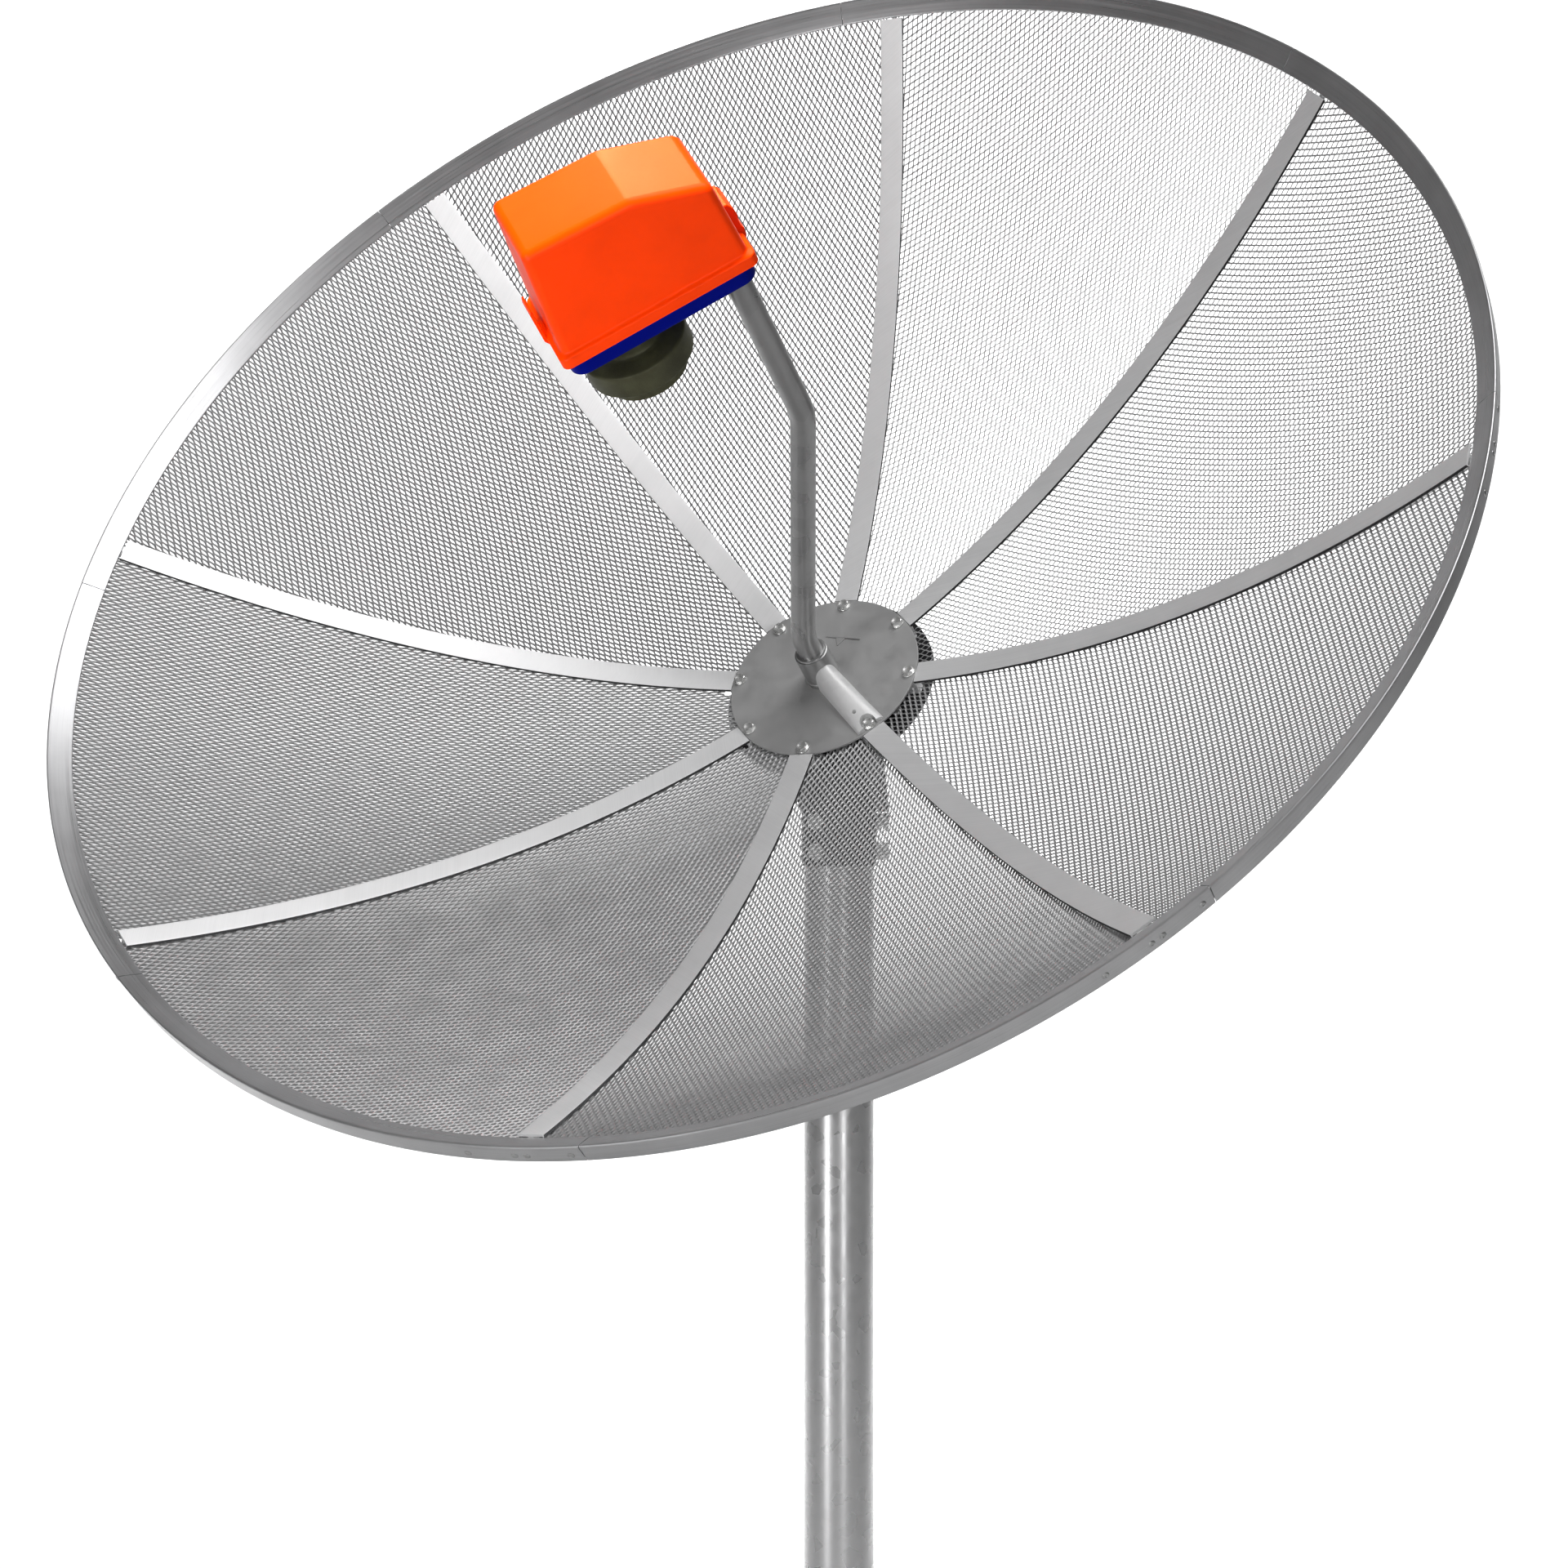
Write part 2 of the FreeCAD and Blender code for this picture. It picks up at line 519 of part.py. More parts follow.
# ---------------------------------------------------------------- feed tray, horn and cover
TRAY = FEED.multiply(turn((0, 0, 1), 0, (0, 0, S["tray_low"])))
arm_mouth = turn((0, 0, 1), S["arm_turn"] - S["tray_turn"]).multVec(V(S["arm_aside"], 0, 0))
L, W = S["tray_long"] / 2, S["tray_wide"] / 2
mx, my = S["tray_out"], S["tray_side"]
hx, hy = S["horn_out"], S["horn_side"]
ax, ay = arm_mouth.x, arm_mouth.y
tray = body("feed_tray", TRAY)
pad(tray, "XY_Plane", poly((mx - L, my - W), (mx + L, my - W), (mx + L, my + W),
                           (mx - L, my + W)), "dims.tray_thick")
soften(tray, "Fillet", 14, lambda e: along(e, (0, 0, 1)))
soften(tray, "Fillet", 3, lambda e: abs(e.BoundBox.ZMax) < 0.01)
cut(tray, "XY_Plane", circle(hx, hy, S["neck_radius"] + S["neck_clear"])
    + circle(ax, ay, S["arm_radius"] + 0.05))

T, RW = S["tray_thick"], S["cover_roof"] / 2
COVER = TRAY.multiply(turn((0, 0, 1), 0, (mx, my, T)))
CL, CW, H, HS = S["cover_long"] / 2, S["cover_wide"] / 2, S["cover_tall"], S["cover_side"]
cover = body("rain_cover", COVER)
fold, bend = S["cover_fold"], S["cover_bend"]
pad(cover, "XZ_Plane", poly((-CL, 0), (CL, 0), (CL - 4, HS), (fold, bend), (-CL + 10, H)),
    "dims.cover_wide", mid=True)
cut(cover, "YZ_Plane", poly((CW, 14), (RW, H), (RW, H + 20), (CW + 40, H + 20), (CW + 40, 14))
    + poly((-CW, 14), (-RW, H), (-RW, H + 20), (-CW - 40, H + 20), (-CW - 40, 14)))
soften(cover, "Fillet", 9, lambda e: e.BoundBox.ZMax > 60 and e.Length > 20)
wall, deep = S["cover_wall"], RW - S["cover_wall"] - 1
inner = cover.newObject("PartDesign::Pocket", "cover_hollow")
inner.Profile = sketch(cover, "XZ_Plane", poly((-CL + 12, -1), (CL - 14, -1),
                                               (CL - 14, HS - 10), (fold, bend - 6),
                                               (-CL + 20, H - 6)))
inner.Midplane = True
inner.Length = 2 * deep
# the mouth is wider than the rest of the hollow, to pass over the neck clamp
wide = CW - 3.5
lower = cover.newObject("PartDesign::Pocket", "cover_mouth")
lower.Profile = sketch(cover, "XZ_Plane", poly((-CL + 12, -1), (CL - 14, -1), (CL - 14, 9),
                                               (-CL + 12, 9)))
lower.Midplane = True
lower.Length = 2 * wide
rimc = cover.newObject("PartDesign::Pad", "cover_flange")
rimc.Profile = sketch(cover, "XY_Plane", poly(
    (-CL - 5, -CW - 4), (CL + 5, -CW - 4), (CL + 5, CW + 4), (-CL - 5, CW + 4))
    + poly((-CL + 12, -wide), (CL - 14, -wide), (CL - 14, wide), (-CL + 12, wide)))
rimc.Length = 5

for name, side in (("cover_clip_left", -1), ("cover_clip_right", 1)):
    clip = body(name, COVER)
    x = side * (CL + 5.2)
    pad(clip, "XZ_Plane", poly((x, -12), (x + side * 3, -12), (x + side * 3, 42),
                               (x, 46), (x - side * 1.4, 46), (x, 20)), "26", mid=True)

NECK = FEED.multiply(turn((0, 0, 1), 0, (hx, hy, 0)))
mr, rr, nr = S["mouth_radius"], S["ring_radius"], S["neck_radius"]
hm, hr, tl = S["horn_mouth"], S["horn_ring"], S["tray_low"]
horn = body("scalar_horn", NECK)
spin(horn, poly((mr - 4, hm), (mr, hm), (mr, hm + 26), (nr, hm + 31), (nr, tl + T + 10),
                (nr - 4, tl + T + 10), (nr - 4, hm + 22), (rr - 3, hm + 22), (rr - 3, hr),
                (rr, hr), (rr, hm + 18), (mr - 4, hm + 18)))
window = body("horn_window", NECK)
spin(window, poly((0, hr + 6), (rr - 3, hr + 6), (rr - 3, hr + 9), (0, hr + 9)))
lnb = body("lnb_housing", NECK)
zt = tl + T + 10
pad(lnb, "XY_Plane", poly((-25, -22), (25, -22), (25, 22), (-25, 22)), "82", str(zt))
soften(lnb, "Fillet", 6, lambda e: along(e, (0, 0, 1)))
plugs = [turn((0, 1, 0), -90, (-25, y, zt + 40)) for y in (-11, 11)]
stack("cable_sockets", NECK, plugs, [("hex", "6.3", "0", "4"), ("round", "4.75", "4", "15")])
clamp = body("neck_clamp", TRAY)
pad(clamp, "XY_Plane", circle(hx, hy, nr + 3) + circle(hx, hy, nr + S["neck_clear"]), "7",
    "dims.tray_thick")
screws = [(mx + x, my + y) for x in (-L + 14, L - 14) for y in (-W + 14, W - 14)]
screws = [p for p in screws if math.hypot(p[0] - ax, p[1] - ay) > 26]
stack("tray_screws", TRAY, [turn((0, 0, 1), 0, (x, y, 0)) for x, y in screws], [
    ("round", "4.2", "-2.4", "0")])

# ---------------------------------------------------------------- write the pieces
doc.recompute()
os.makedirs("parts", exist_ok=True)
for item in doc.Objects:
    if any(word in item.State for word in ("Invalid", "Error")):
        raise RuntimeError("%s (%s) is broken: %s" % (item.Label, item.TypeId, item.State))
for node in nodes:
    shape = node.Shape
    if shape.isNull() or not shape.isValid() or not shape.Solids:
        raise RuntimeError(node.Label + " has no valid solid")
    shape.exportStep("parts/%s.step" % node.Label)
    box = shape.BoundBox
    print("%-18s solids %2d volume %10.0f  x %.0f..%.0f y %.0f..%.0f z %.0f..%.0f" % (
        node.Label, len(shape.Solids), shape.Volume, box.XMin, box.XMax, box.YMin, box.YMax,
        box.ZMin, box.ZMax))
print(len(nodes), "nodes")
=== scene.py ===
import json
import math
import random

import bmesh
import bpy
import numpy as np
from mathutils import Matrix, Vector


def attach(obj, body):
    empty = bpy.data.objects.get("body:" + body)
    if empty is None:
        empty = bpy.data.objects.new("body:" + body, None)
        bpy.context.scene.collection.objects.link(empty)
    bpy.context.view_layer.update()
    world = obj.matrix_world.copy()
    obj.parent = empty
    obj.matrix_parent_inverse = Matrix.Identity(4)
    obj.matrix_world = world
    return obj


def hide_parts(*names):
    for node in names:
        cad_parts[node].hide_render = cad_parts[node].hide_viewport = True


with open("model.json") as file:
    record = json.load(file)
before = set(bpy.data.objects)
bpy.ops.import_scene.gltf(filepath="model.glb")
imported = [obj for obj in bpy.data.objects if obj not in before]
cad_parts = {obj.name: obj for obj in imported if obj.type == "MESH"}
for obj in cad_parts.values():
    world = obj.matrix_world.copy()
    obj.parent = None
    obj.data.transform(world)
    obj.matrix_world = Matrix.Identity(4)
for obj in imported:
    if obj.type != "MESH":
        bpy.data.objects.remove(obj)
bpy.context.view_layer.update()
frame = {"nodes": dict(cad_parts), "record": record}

random.seed(7)
MM = 0.001

# ---------------------------------------------------------------- frames, in metres
FOCAL = 0.4895
FEED_TURN, ARM_TURN = 36.2, 16.5        # degrees about the reflector's axis
ARM_ASIDE, ARM_RADIUS = 0.1054, 0.0127
BOLT_CIRCLE = 0.0955
RIM_INNER, RIM_OUTER, RIM_PROUD = 0.729, 0.750, 0.003
MAST_RADIUS, MAST_BORE = 0.0365, 0.0313
VIEW_TURN = math.radians(25.76)
TILT = Matrix.Translation((0, -0.030, 1.310)) @ Matrix.Rotation(math.radians(52.44), 4, "X")
DISH = TILT @ Matrix.Rotation(math.radians(2.09), 4, "Z")
FEED = DISH @ Matrix.Rotation(math.radians(FEED_TURN), 4, "Z")
TRAY = FEED @ Matrix.Translation((0, 0, 0.546))
COVER = TRAY @ Matrix.Translation((0.022, -0.0037, 0.019))
NECK = FEED @ Matrix.Translation((-0.0105, 0.0077, 0))
SPOKES = [90 - 45 * k for k in range(8)]


def around(angle, base=DISH):
    return base @ Matrix.Rotation(math.radians(angle), 4, "Z")


def bowl(r):
    return r * r / (4 * FOCAL)


# ---------------------------------------------------------------- node materials
class Paint:
    """A material whose nodes are added one after another."""

    def __init__(self, name, color, rough, metal=0.0, spec=0.5):
        self.mat = bpy.data.materials.new(name)
        self.mat.use_nodes = True
        self.tree = self.mat.node_tree
        self.shader = self.tree.nodes["Principled BSDF"]
        self.set("Metallic", metal)
        self.set("Specular IOR Level", spec)
        self.set("Roughness", rough)
        self.set("Base Color", (*color, 1))
        self.color, self.rough = color, rough
        self.mat.diffuse_color = (*color, 1)
        self.coord = self.tree.nodes.new("ShaderNodeTexCoord").outputs["Object"]

    def set(self, socket, value):
        self.shader.inputs[socket].default_value = value
        return self

    def node(self, kind, inputs=None, **props):
        made = self.tree.nodes.new("ShaderNode" + kind)
        for key, value in props.items():
            setattr(made, key, value)
        for key, value in (inputs or {}).items():
            if isinstance(value, bpy.types.NodeSocket):
                self.tree.links.new(value, made.inputs[key])
            else:
                made.inputs[key].default_value = value
        return made

    def stretched(self, scale):
        return self.node("Mapping", {"Vector": self.coord, "Scale": scale}).outputs["Vector"]

    def polar(self, scale):
        """Coordinates (arc length, radius, height) about the reflector's axis."""
        local = self.node("Mapping", {"Vector": self.coord, "Location": DISH.to_translation(),
                                      "Rotation": DISH.to_euler()}, vector_type="TEXTURE")
        parts = self.node("SeparateXYZ", {"Vector": local.outputs["Vector"]})
        x, y, z = (parts.outputs[i] for i in range(3))
        angle = self.node("Math", {0: y, 1: x}, operation="ARCTAN2").outputs[0]
        flat = self.node("CombineXYZ", {"X": x, "Y": y}).outputs[0]
        radius = self.node("VectorMath", {0: flat}, operation="LENGTH").outputs["Value"]
        arc = self.node("Math", {0: angle, 1: radius}, operation="MULTIPLY").outputs[0]
        joined = self.node("CombineXYZ", {"X": arc, "Y": radius, "Z": z}).outputs[0]
        return self.node("Mapping", {"Vector": joined, "Scale": scale}).outputs["Vector"]

    def noise(self, scale, detail=3.0, vector=None, rough=0.55):
        return self.node("TexNoise", {"Vector": vector or self.coord, "Scale": scale,
                                      "Detail": detail, "Roughness": rough}).outputs["Fac"]

    def spread(self, value, low, high, frm=0.3, to=0.7):
        return self.node("MapRange", {"Value": value, "From Min": frm, "From Max": to,
                                      "To Min": low, "To Max": high}).outputs["Result"]

    def tint(self, value, dark, light):
        """Links a base colour that varies between two brightness factors."""
        mixed = self.tree.nodes.new("ShaderNodeMix")
        mixed.data_type = "RGBA"
        self.tree.links.new(value, mixed.inputs["Factor"])
        low, high = [s for s in mixed.inputs if s.type == "RGBA"]
        low.default_value = (*[c * dark for c in self.color], 1)
        high.default_value = (*[min(1, c * light) for c in self.color], 1)
        made = [s for s in mixed.outputs if s.type == "RGBA"][0]
        return self.link(made, "Base Color")

    def link(self, value, socket):
        self.tree.links.new(value, self.shader.inputs[socket])
        return self

    def bump(self, value, strength, distance=0.001):
        made = self.node("Bump", {"Height": value, "Strength": strength, "Distance": distance})
        self.tree.links.new(made.outputs["Normal"], self.shader.inputs["Normal"])
        return self


def brushed(name, color, rough, metal, streak, scale, wear=0.12, polar=False, bump=0.08):
    """Drawn or rolled metal with streaks along one direction and soft blotches."""
    p = Paint(name, color, rough, metal)
    vector = p.polar(scale) if polar else p.stretched(scale)
    fine = p.noise(streak, 4, vector, 0.7)
    blotch = p.noise(14, 3)
    both = p.node("Math", {0: fine, 1: blotch}, operation="ADD").outputs[0]
    p.tint(p.spread(both, 0, 1, 0.75, 1.25), 1 - wear, 1 + wear * 0.5)
    p.link(p.spread(fine, rough * 0.75, min(1, rough * 1.3)), "Roughness")
    return p.bump(fine, bump, 0.0004)


def speckled(name, color, rough, metal, scale=60, wear=0.1, bump=0.1, distance=0.0004):
    """Cast, moulded or painted surface with a fine grain."""
    p = Paint(name, color, rough, metal)
    grain = p.noise(scale * 12, 4)
    p.tint(p.spread(p.noise(scale, 4), 0, 1), 1 - wear, 1 + wear)
    p.link(p.spread(p.noise(scale * 0.6, 3), rough * 0.85, min(1, rough * 1.2)), "Roughness")
    return p.bump(grain, bump, distance)


def zinc(name, color, rough, metal, scale=90, wear=0.16):
    """Hot-dip galvanised steel: crystal patches over a soft mottle."""
    p = Paint(name, color, rough, metal)
    cells = p.node("TexVoronoi", {"Vector": p.coord, "Scale": scale, "Randomness": 1.0})
    patch = p.node("SeparateColor", {"Color": cells.outputs["Color"]}).outputs[0]
    both = p.node("Math", {0: patch, 1: p.noise(scale * 0.25, 4)}, operation="ADD").outputs[0]
    p.tint(p.spread(both, 0, 1, 0.4, 1.2), 1 - wear, 1 + wear * 0.6)
    p.link(p.spread(patch, rough * 0.85, min(1, rough * 1.2), 0, 1), "Roughness")
    return p.bump(p.noise(scale * 4, 4), 0.08, 0.0004)


M_MESH = speckled("mesh_alu", (0.50, 0.50, 0.505), 0.42, 0.5, 40, 0.05, 0.05).mat
M_RIB = brushed("rib_alu", (0.86, 0.86, 0.865), 0.40, 0.22, 1.0, (500, 3, 3), 0.06,
                polar=True).mat
# painted shade: a near-black material for the rib flange's turned-down edges, standing in for the
# shaded gap between flange and mesh
M_RIB_GAP_SHADE = speckled("rib_edge", (0.045, 0.045, 0.047), 0.6, 0.2, 60, 0.2, 0.1).mat
M_RIM = brushed("rim_alu", (0.66, 0.66, 0.67), 0.34, 0.75, 1.0, (3, 500, 500), 0.12,
                polar=True).mat
M_RIVET = speckled("rivet_alu", (0.55, 0.55, 0.55), 0.35, 0.8, 200, 0.15, 0.1).mat
M_COVER = speckled("cover_orange", (0.95, 0.047, 0.0001), 0.34, 0.0, 25, 0.04, 0.05)
M_COVER.set("Specular IOR Level", 0.12).set("Coat Weight", 0.02).set("Coat Roughness", 0.12)
M_COVER = M_COVER.mat
M_TRAY = speckled("tray_blue", (0.0, 0.003, 0.16), 0.36, 0.0, 40, 0.08, 0.06)
M_TRAY = M_TRAY.set("Specular IOR Level", 0.05).mat
M_HORN = speckled("horn_cast", (0.100, 0.100, 0.050), 0.46, 0.25, 45, 0.25, 0.35, 0.0006).mat
M_LNB = speckled("lnb_paint", (0.50, 0.51, 0.50), 0.4, 0.1, 50, 0.06, 0.25).mat
M_WINDOW = speckled("horn_window", (0.72, 0.71, 0.66), 0.5, 0.0, 60, 0.05, 0.1).mat
M_DARK = speckled("clamp_plastic", (0.03, 0.03, 0.035), 0.5, 0.0, 80, 0.15, 0.2).mat
M_NICKEL = speckled("socket_nickel", (0.70, 0.67, 0.58), 0.22, 1.0, 120, 0.1, 0.05).mat
M_PLATE = brushed("plate_paint", (0.48, 0.48, 0.48), 0.46, 0.35, 1.0, (40, 40, 40), 0.06).mat
M_ARM = zinc("arm_zinc", (0.42, 0.42, 0.42), 0.30, 0.8, 60, 0.10).mat
M_MAST = zinc("mast_zinc", (0.76, 0.76, 0.765), 0.30, 0.70, 90, 0.04).mat
# painted shade: the mount head's galvanised zinc is drawn near black, far darker than the mast's
# zinc, standing in for the reflector's shade on it behind the mesh
M_HEAD_SHADED_ZINC = zinc("head_zinc_painted_shade", (0.06, 0.06, 0.062), 0.42, 0.5, 90, 0.20).mat
M_BOLT = brushed("bolt_zinc", (0.88, 0.88, 0.87), 0.30, 0.75, 1.0, (300, 300, 300), 0.15).mat
M_BRACE = zinc("brace_zinc", (0.88, 0.88, 0.88), 0.46, 0.15, 80, 0.06).mat


# ---------------------------------------------------------------- mesh helpers
def finish_mesh(name, verts, faces, mat, matrix=None, sharp=38):
    mesh = bpy.data.meshes.new(name)
    mesh.from_pydata([tuple(v) for v in verts], [], faces)
    mesh.validate()
    tidy = bmesh.new()
    tidy.from_mesh(mesh)
    bmesh.ops.recalc_face_normals(tidy, faces=tidy.faces)
    tidy.to_mesh(mesh)
    tidy.free()
    mesh.shade_smooth()
    if sharp:
        mesh.set_sharp_from_angle(angle=math.radians(sharp))
    return place(name, mesh, mat, matrix)


def place(name, mesh, mat, matrix=None):
    """Links a mesh as a piece. Its place is in its vertices, as the CAD nodes' is."""
    obj = bpy.data.objects.new(name, mesh)
    bpy.context.scene.collection.objects.link(obj)
    if mat and not mesh.materials:
        mesh.materials.append(mat)
    if matrix is not None:
        mesh.transform(matrix)
    if len(mesh.polygons) < 60000:
        flat = obj.modifiers.new("flat_faces", "WEIGHTED_NORMAL")
        flat.keep_sharp, flat.weight = True, 100
    return obj


def give(obj, body, slot, *nodes):
    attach(obj, body)
    if nodes:
        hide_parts(*nodes)
    return obj


def upright(y=0.0):
    """Stands a slab's outline up in the XZ plane, with its low face at y."""
    return Matrix(((1, 0, 0, 0), (0, 0, -1, y), (0, 1, 0, 0), (0, 0, 0, 1)))


class Bag:
    """Collects vertices and faces of several shapes for one piece."""

    def __init__(self):
        self.verts, self.faces = [], []

    def add(self, verts, faces, matrix=None):
        start = len(self.verts)
        for v in verts:
            self.verts.append(tuple(matrix @ Vector(v)) if matrix is not None else tuple(v))
        self.faces += [tuple(i + start for i in f) for f in faces]
        return self

    def make(self, name, mat, matrix=None, sharp=38):
        return finish_mesh(name, self.verts, self.faces, mat, matrix, sharp)


def lathe(profile, segs=64, closed=True, arc=None, shape=None):
    """Turns (r, z) points about Z. closed joins the profile's ends; arc gives start and end
    degrees; shape(angle, r, z) may change each point."""
    full = arc is None
    a0, a1 = (0, 360) if full else arc
    steps = segs if full else segs + 1
    verts, faces, n = [], [], len(profile)
    for i in range(steps):
        a = math.radians(a0 + (a1 - a0) * i / segs)
        for r, z in profile:
            if shape:
                r, z = shape(a, r, z)
            verts.append((r * math.cos(a), r * math.sin(a), z))
    for i in range(segs):
        j = (i + 1) % steps if full else i + 1
        for k in range(n if closed else n - 1):
            m = (k + 1) % n
            quad = (i * n + k, i * n + m, j * n + m, j * n + k)
            faces.append(quad)
    if not full and closed:
        faces.append(tuple(range(n))[::-1])
        faces.append(tuple(range((steps - 1) * n, steps * n)))
    return verts, faces


def solid_turn(profile, segs=48, shape=None):
    """Turns an open (r, z) profile, and closes it at both ends with flat caps."""
    verts, faces = lathe(profile, segs, closed=False, shape=shape)
    n = len(profile)
    faces.append(tuple(i * n for i in range(segs))[::-1])
    faces.append(tuple(i * n + n - 1 for i in range(segs)))
    return verts, faces


def sweep(profile, frames):
    """A closed outline carried along a list of matrices, with end caps."""
    verts, faces, n = [], [], len(profile)
    for m in frames:
        verts += [tuple(m @ Vector((x, y, 0))) for x, y in profile]
    for i in range(len(frames) - 1):
        for k in range(n):
            m = (k + 1) % n
            faces.append((i * n + k, i * n + m, (i + 1) * n + m, (i + 1) * n + k))
    faces.append(tuple(range(n))[::-1])
    faces.append(tuple(range((len(frames) - 1) * n, len(frames) * n)))
    return verts, faces


def hexagon(circum):
    """Radius of a hexagon with this circumradius, by angle."""
    def radius(a):
        return circum * math.cos(math.pi / 6) / math.cos((a % (math.pi / 3)) - math.pi / 6)
    return radius


def hex_block(circum, low, high, bore=0.0, both=False, dish=0.0):
    """A hexagonal head or nut with turned chamfers."""
    radius, inner = hexagon(circum), circum * math.cos(math.pi / 6)
    edge = (circum - inner * 0.97)
    drop = edge * 0.6

    def shape(a, r, z):
        if r < 0:
            wide = radius(a)
            sink = max(0.0, wide - inner * 0.985) / edge * drop
            return (wide, high - sink) if z > 0 else (wide, low + (sink if both else 0))
        return r, z
    top, foot = inner * 0.93, inner * (0.93 if both else 0.99)
    if bore:
        lip = min(0.0006, bore * 0.12)
        prof = [(bore + lip, low), (foot, low), (-1, -1), (-1, 1), (top, high),
                (bore + lip, high), (bore, high - lip), (bore, low + lip)]
        return lathe(prof, 60, shape=shape)
    prof = [(foot * 0.4, low), (foot, low), (-1, -1), (-1, 1), (top, high),
            (top * 0.72, high - dish * 0.4), (top * 0.5, high - dish), (0.0002, high - dish)]
    return solid_turn(prof, 60, shape)


def thread(radius, low, high, pitch, segs=32):
    """A threaded stud end: a helix-like row of ridges with a turned tip."""
    prof = [(radius * 0.55, low), (radius * 0.86, low)]
    z, deep = low + pitch * 0.3, radius * 0.13
    while z + pitch < high - pitch * 0.5:
        prof += [(radius - deep, z), (radius, z + pitch * 0.4), (radius, z + pitch * 0.55)]
        z += pitch
    prof += [(radius - deep, z), (radius - deep, high - pitch * 0.4), (radius * 0.72, high),
             (0.0002, high)]
    prof[0] = (0.0002, low)
    return solid_turn(prof, segs)


def washer(inner, outer, low, high):
    c = min(0.0003, (high - low) * 0.3)
    return lathe([(inner, low), (outer - c, low), (outer, low + c), (outer, high - c),
                  (outer - c, high), (inner, high)], 40)


def rounded(points, radius, steps=4):
    """Rounds the corners of a closed outline. radius is one number or one per corner."""
    out, n = [], len(points)
    for i, p in enumerate(points):
        r = radius[i] if isinstance(radius, (list, tuple)) else radius
        if r <= 0:
            out.append(tuple(p))
            continue
        p0, p1, p2 = (Vector(points[(i + d) % n]).to_2d() for d in (-1, 0, 1))
        a, b = (p0 - p1).normalized(), (p2 - p1).normalized()
        half = math.acos(max(-1, min(1, a.dot(b)))) / 2
        back = min(r / math.tan(half), (p0 - p1).length * 0.49, (p2 - p1).length * 0.49)
        r = back * math.tan(half)
        centre = p1 + (a + b).normalized() * (r / math.sin(half))
        s, e = p1 + a * back - centre, p1 + b * back - centre
        turn = math.atan2(s.x * e.y - s.y * e.x, s.dot(e))
        for k in range(steps + 1):
            t = turn * k / steps
            out.append((centre.x + s.x * math.cos(t) - s.y * math.sin(t),
                        centre.y + s.x * math.sin(t) + s.y * math.cos(t)))
    return out


def slab(outline, low, high, edge=0.0, steps=3):
    """An outline raised from low to high, with rounded top and bottom edges."""
    pts = [Vector(p).to_2d() for p in outline]
    n = len(pts)
    area = sum(pts[i].x * pts[(i + 1) % n].y - pts[(i + 1) % n].x * pts[i].y for i in range(n))
    if area < 0:
        pts.reverse()
    normals = []
    for i in range(n):
        a, b = pts[i] - pts[i - 1], pts[(i + 1) % n] - pts[i]
        na, nb = Vector((a.y, -a.x)).normalized(), Vector((b.y, -b.x)).normalized()
        s = na + nb
        normals.append(s / max(0.35, s.length_squared / 2) if s.length > 1e-6 else na)
    rows = []
    if edge > 0:
        for k in range(steps + 1):
            t = math.pi / 2 * k / steps
            rows.append((edge * (1 - math.sin(t)), low + edge * (1 - math.cos(t))))
        for k in range(steps, -1, -1):
            t = math.pi / 2 * k / steps
            rows.append((edge * (1 - math.sin(t)), high - edge * (1 - math.cos(t))))
    else:
        rows = [(0, low), (0, high)]
    verts, faces = [], []
    for inset, z in rows:
        verts += [(p.x - m.x * inset, p.y - m.y * inset, z) for p, m in zip(pts, normals)]
    for i in range(len(rows) - 1):
        for k in range(n):
            m = (k + 1) % n
            faces.append((i * n + k, i * n + m, (i + 1) * n + m, (i + 1) * n + k))
    faces.append(tuple(range(n))[::-1])
    faces.append(tuple(range((len(rows) - 1) * n, len(rows) * n)))
    return verts, faces


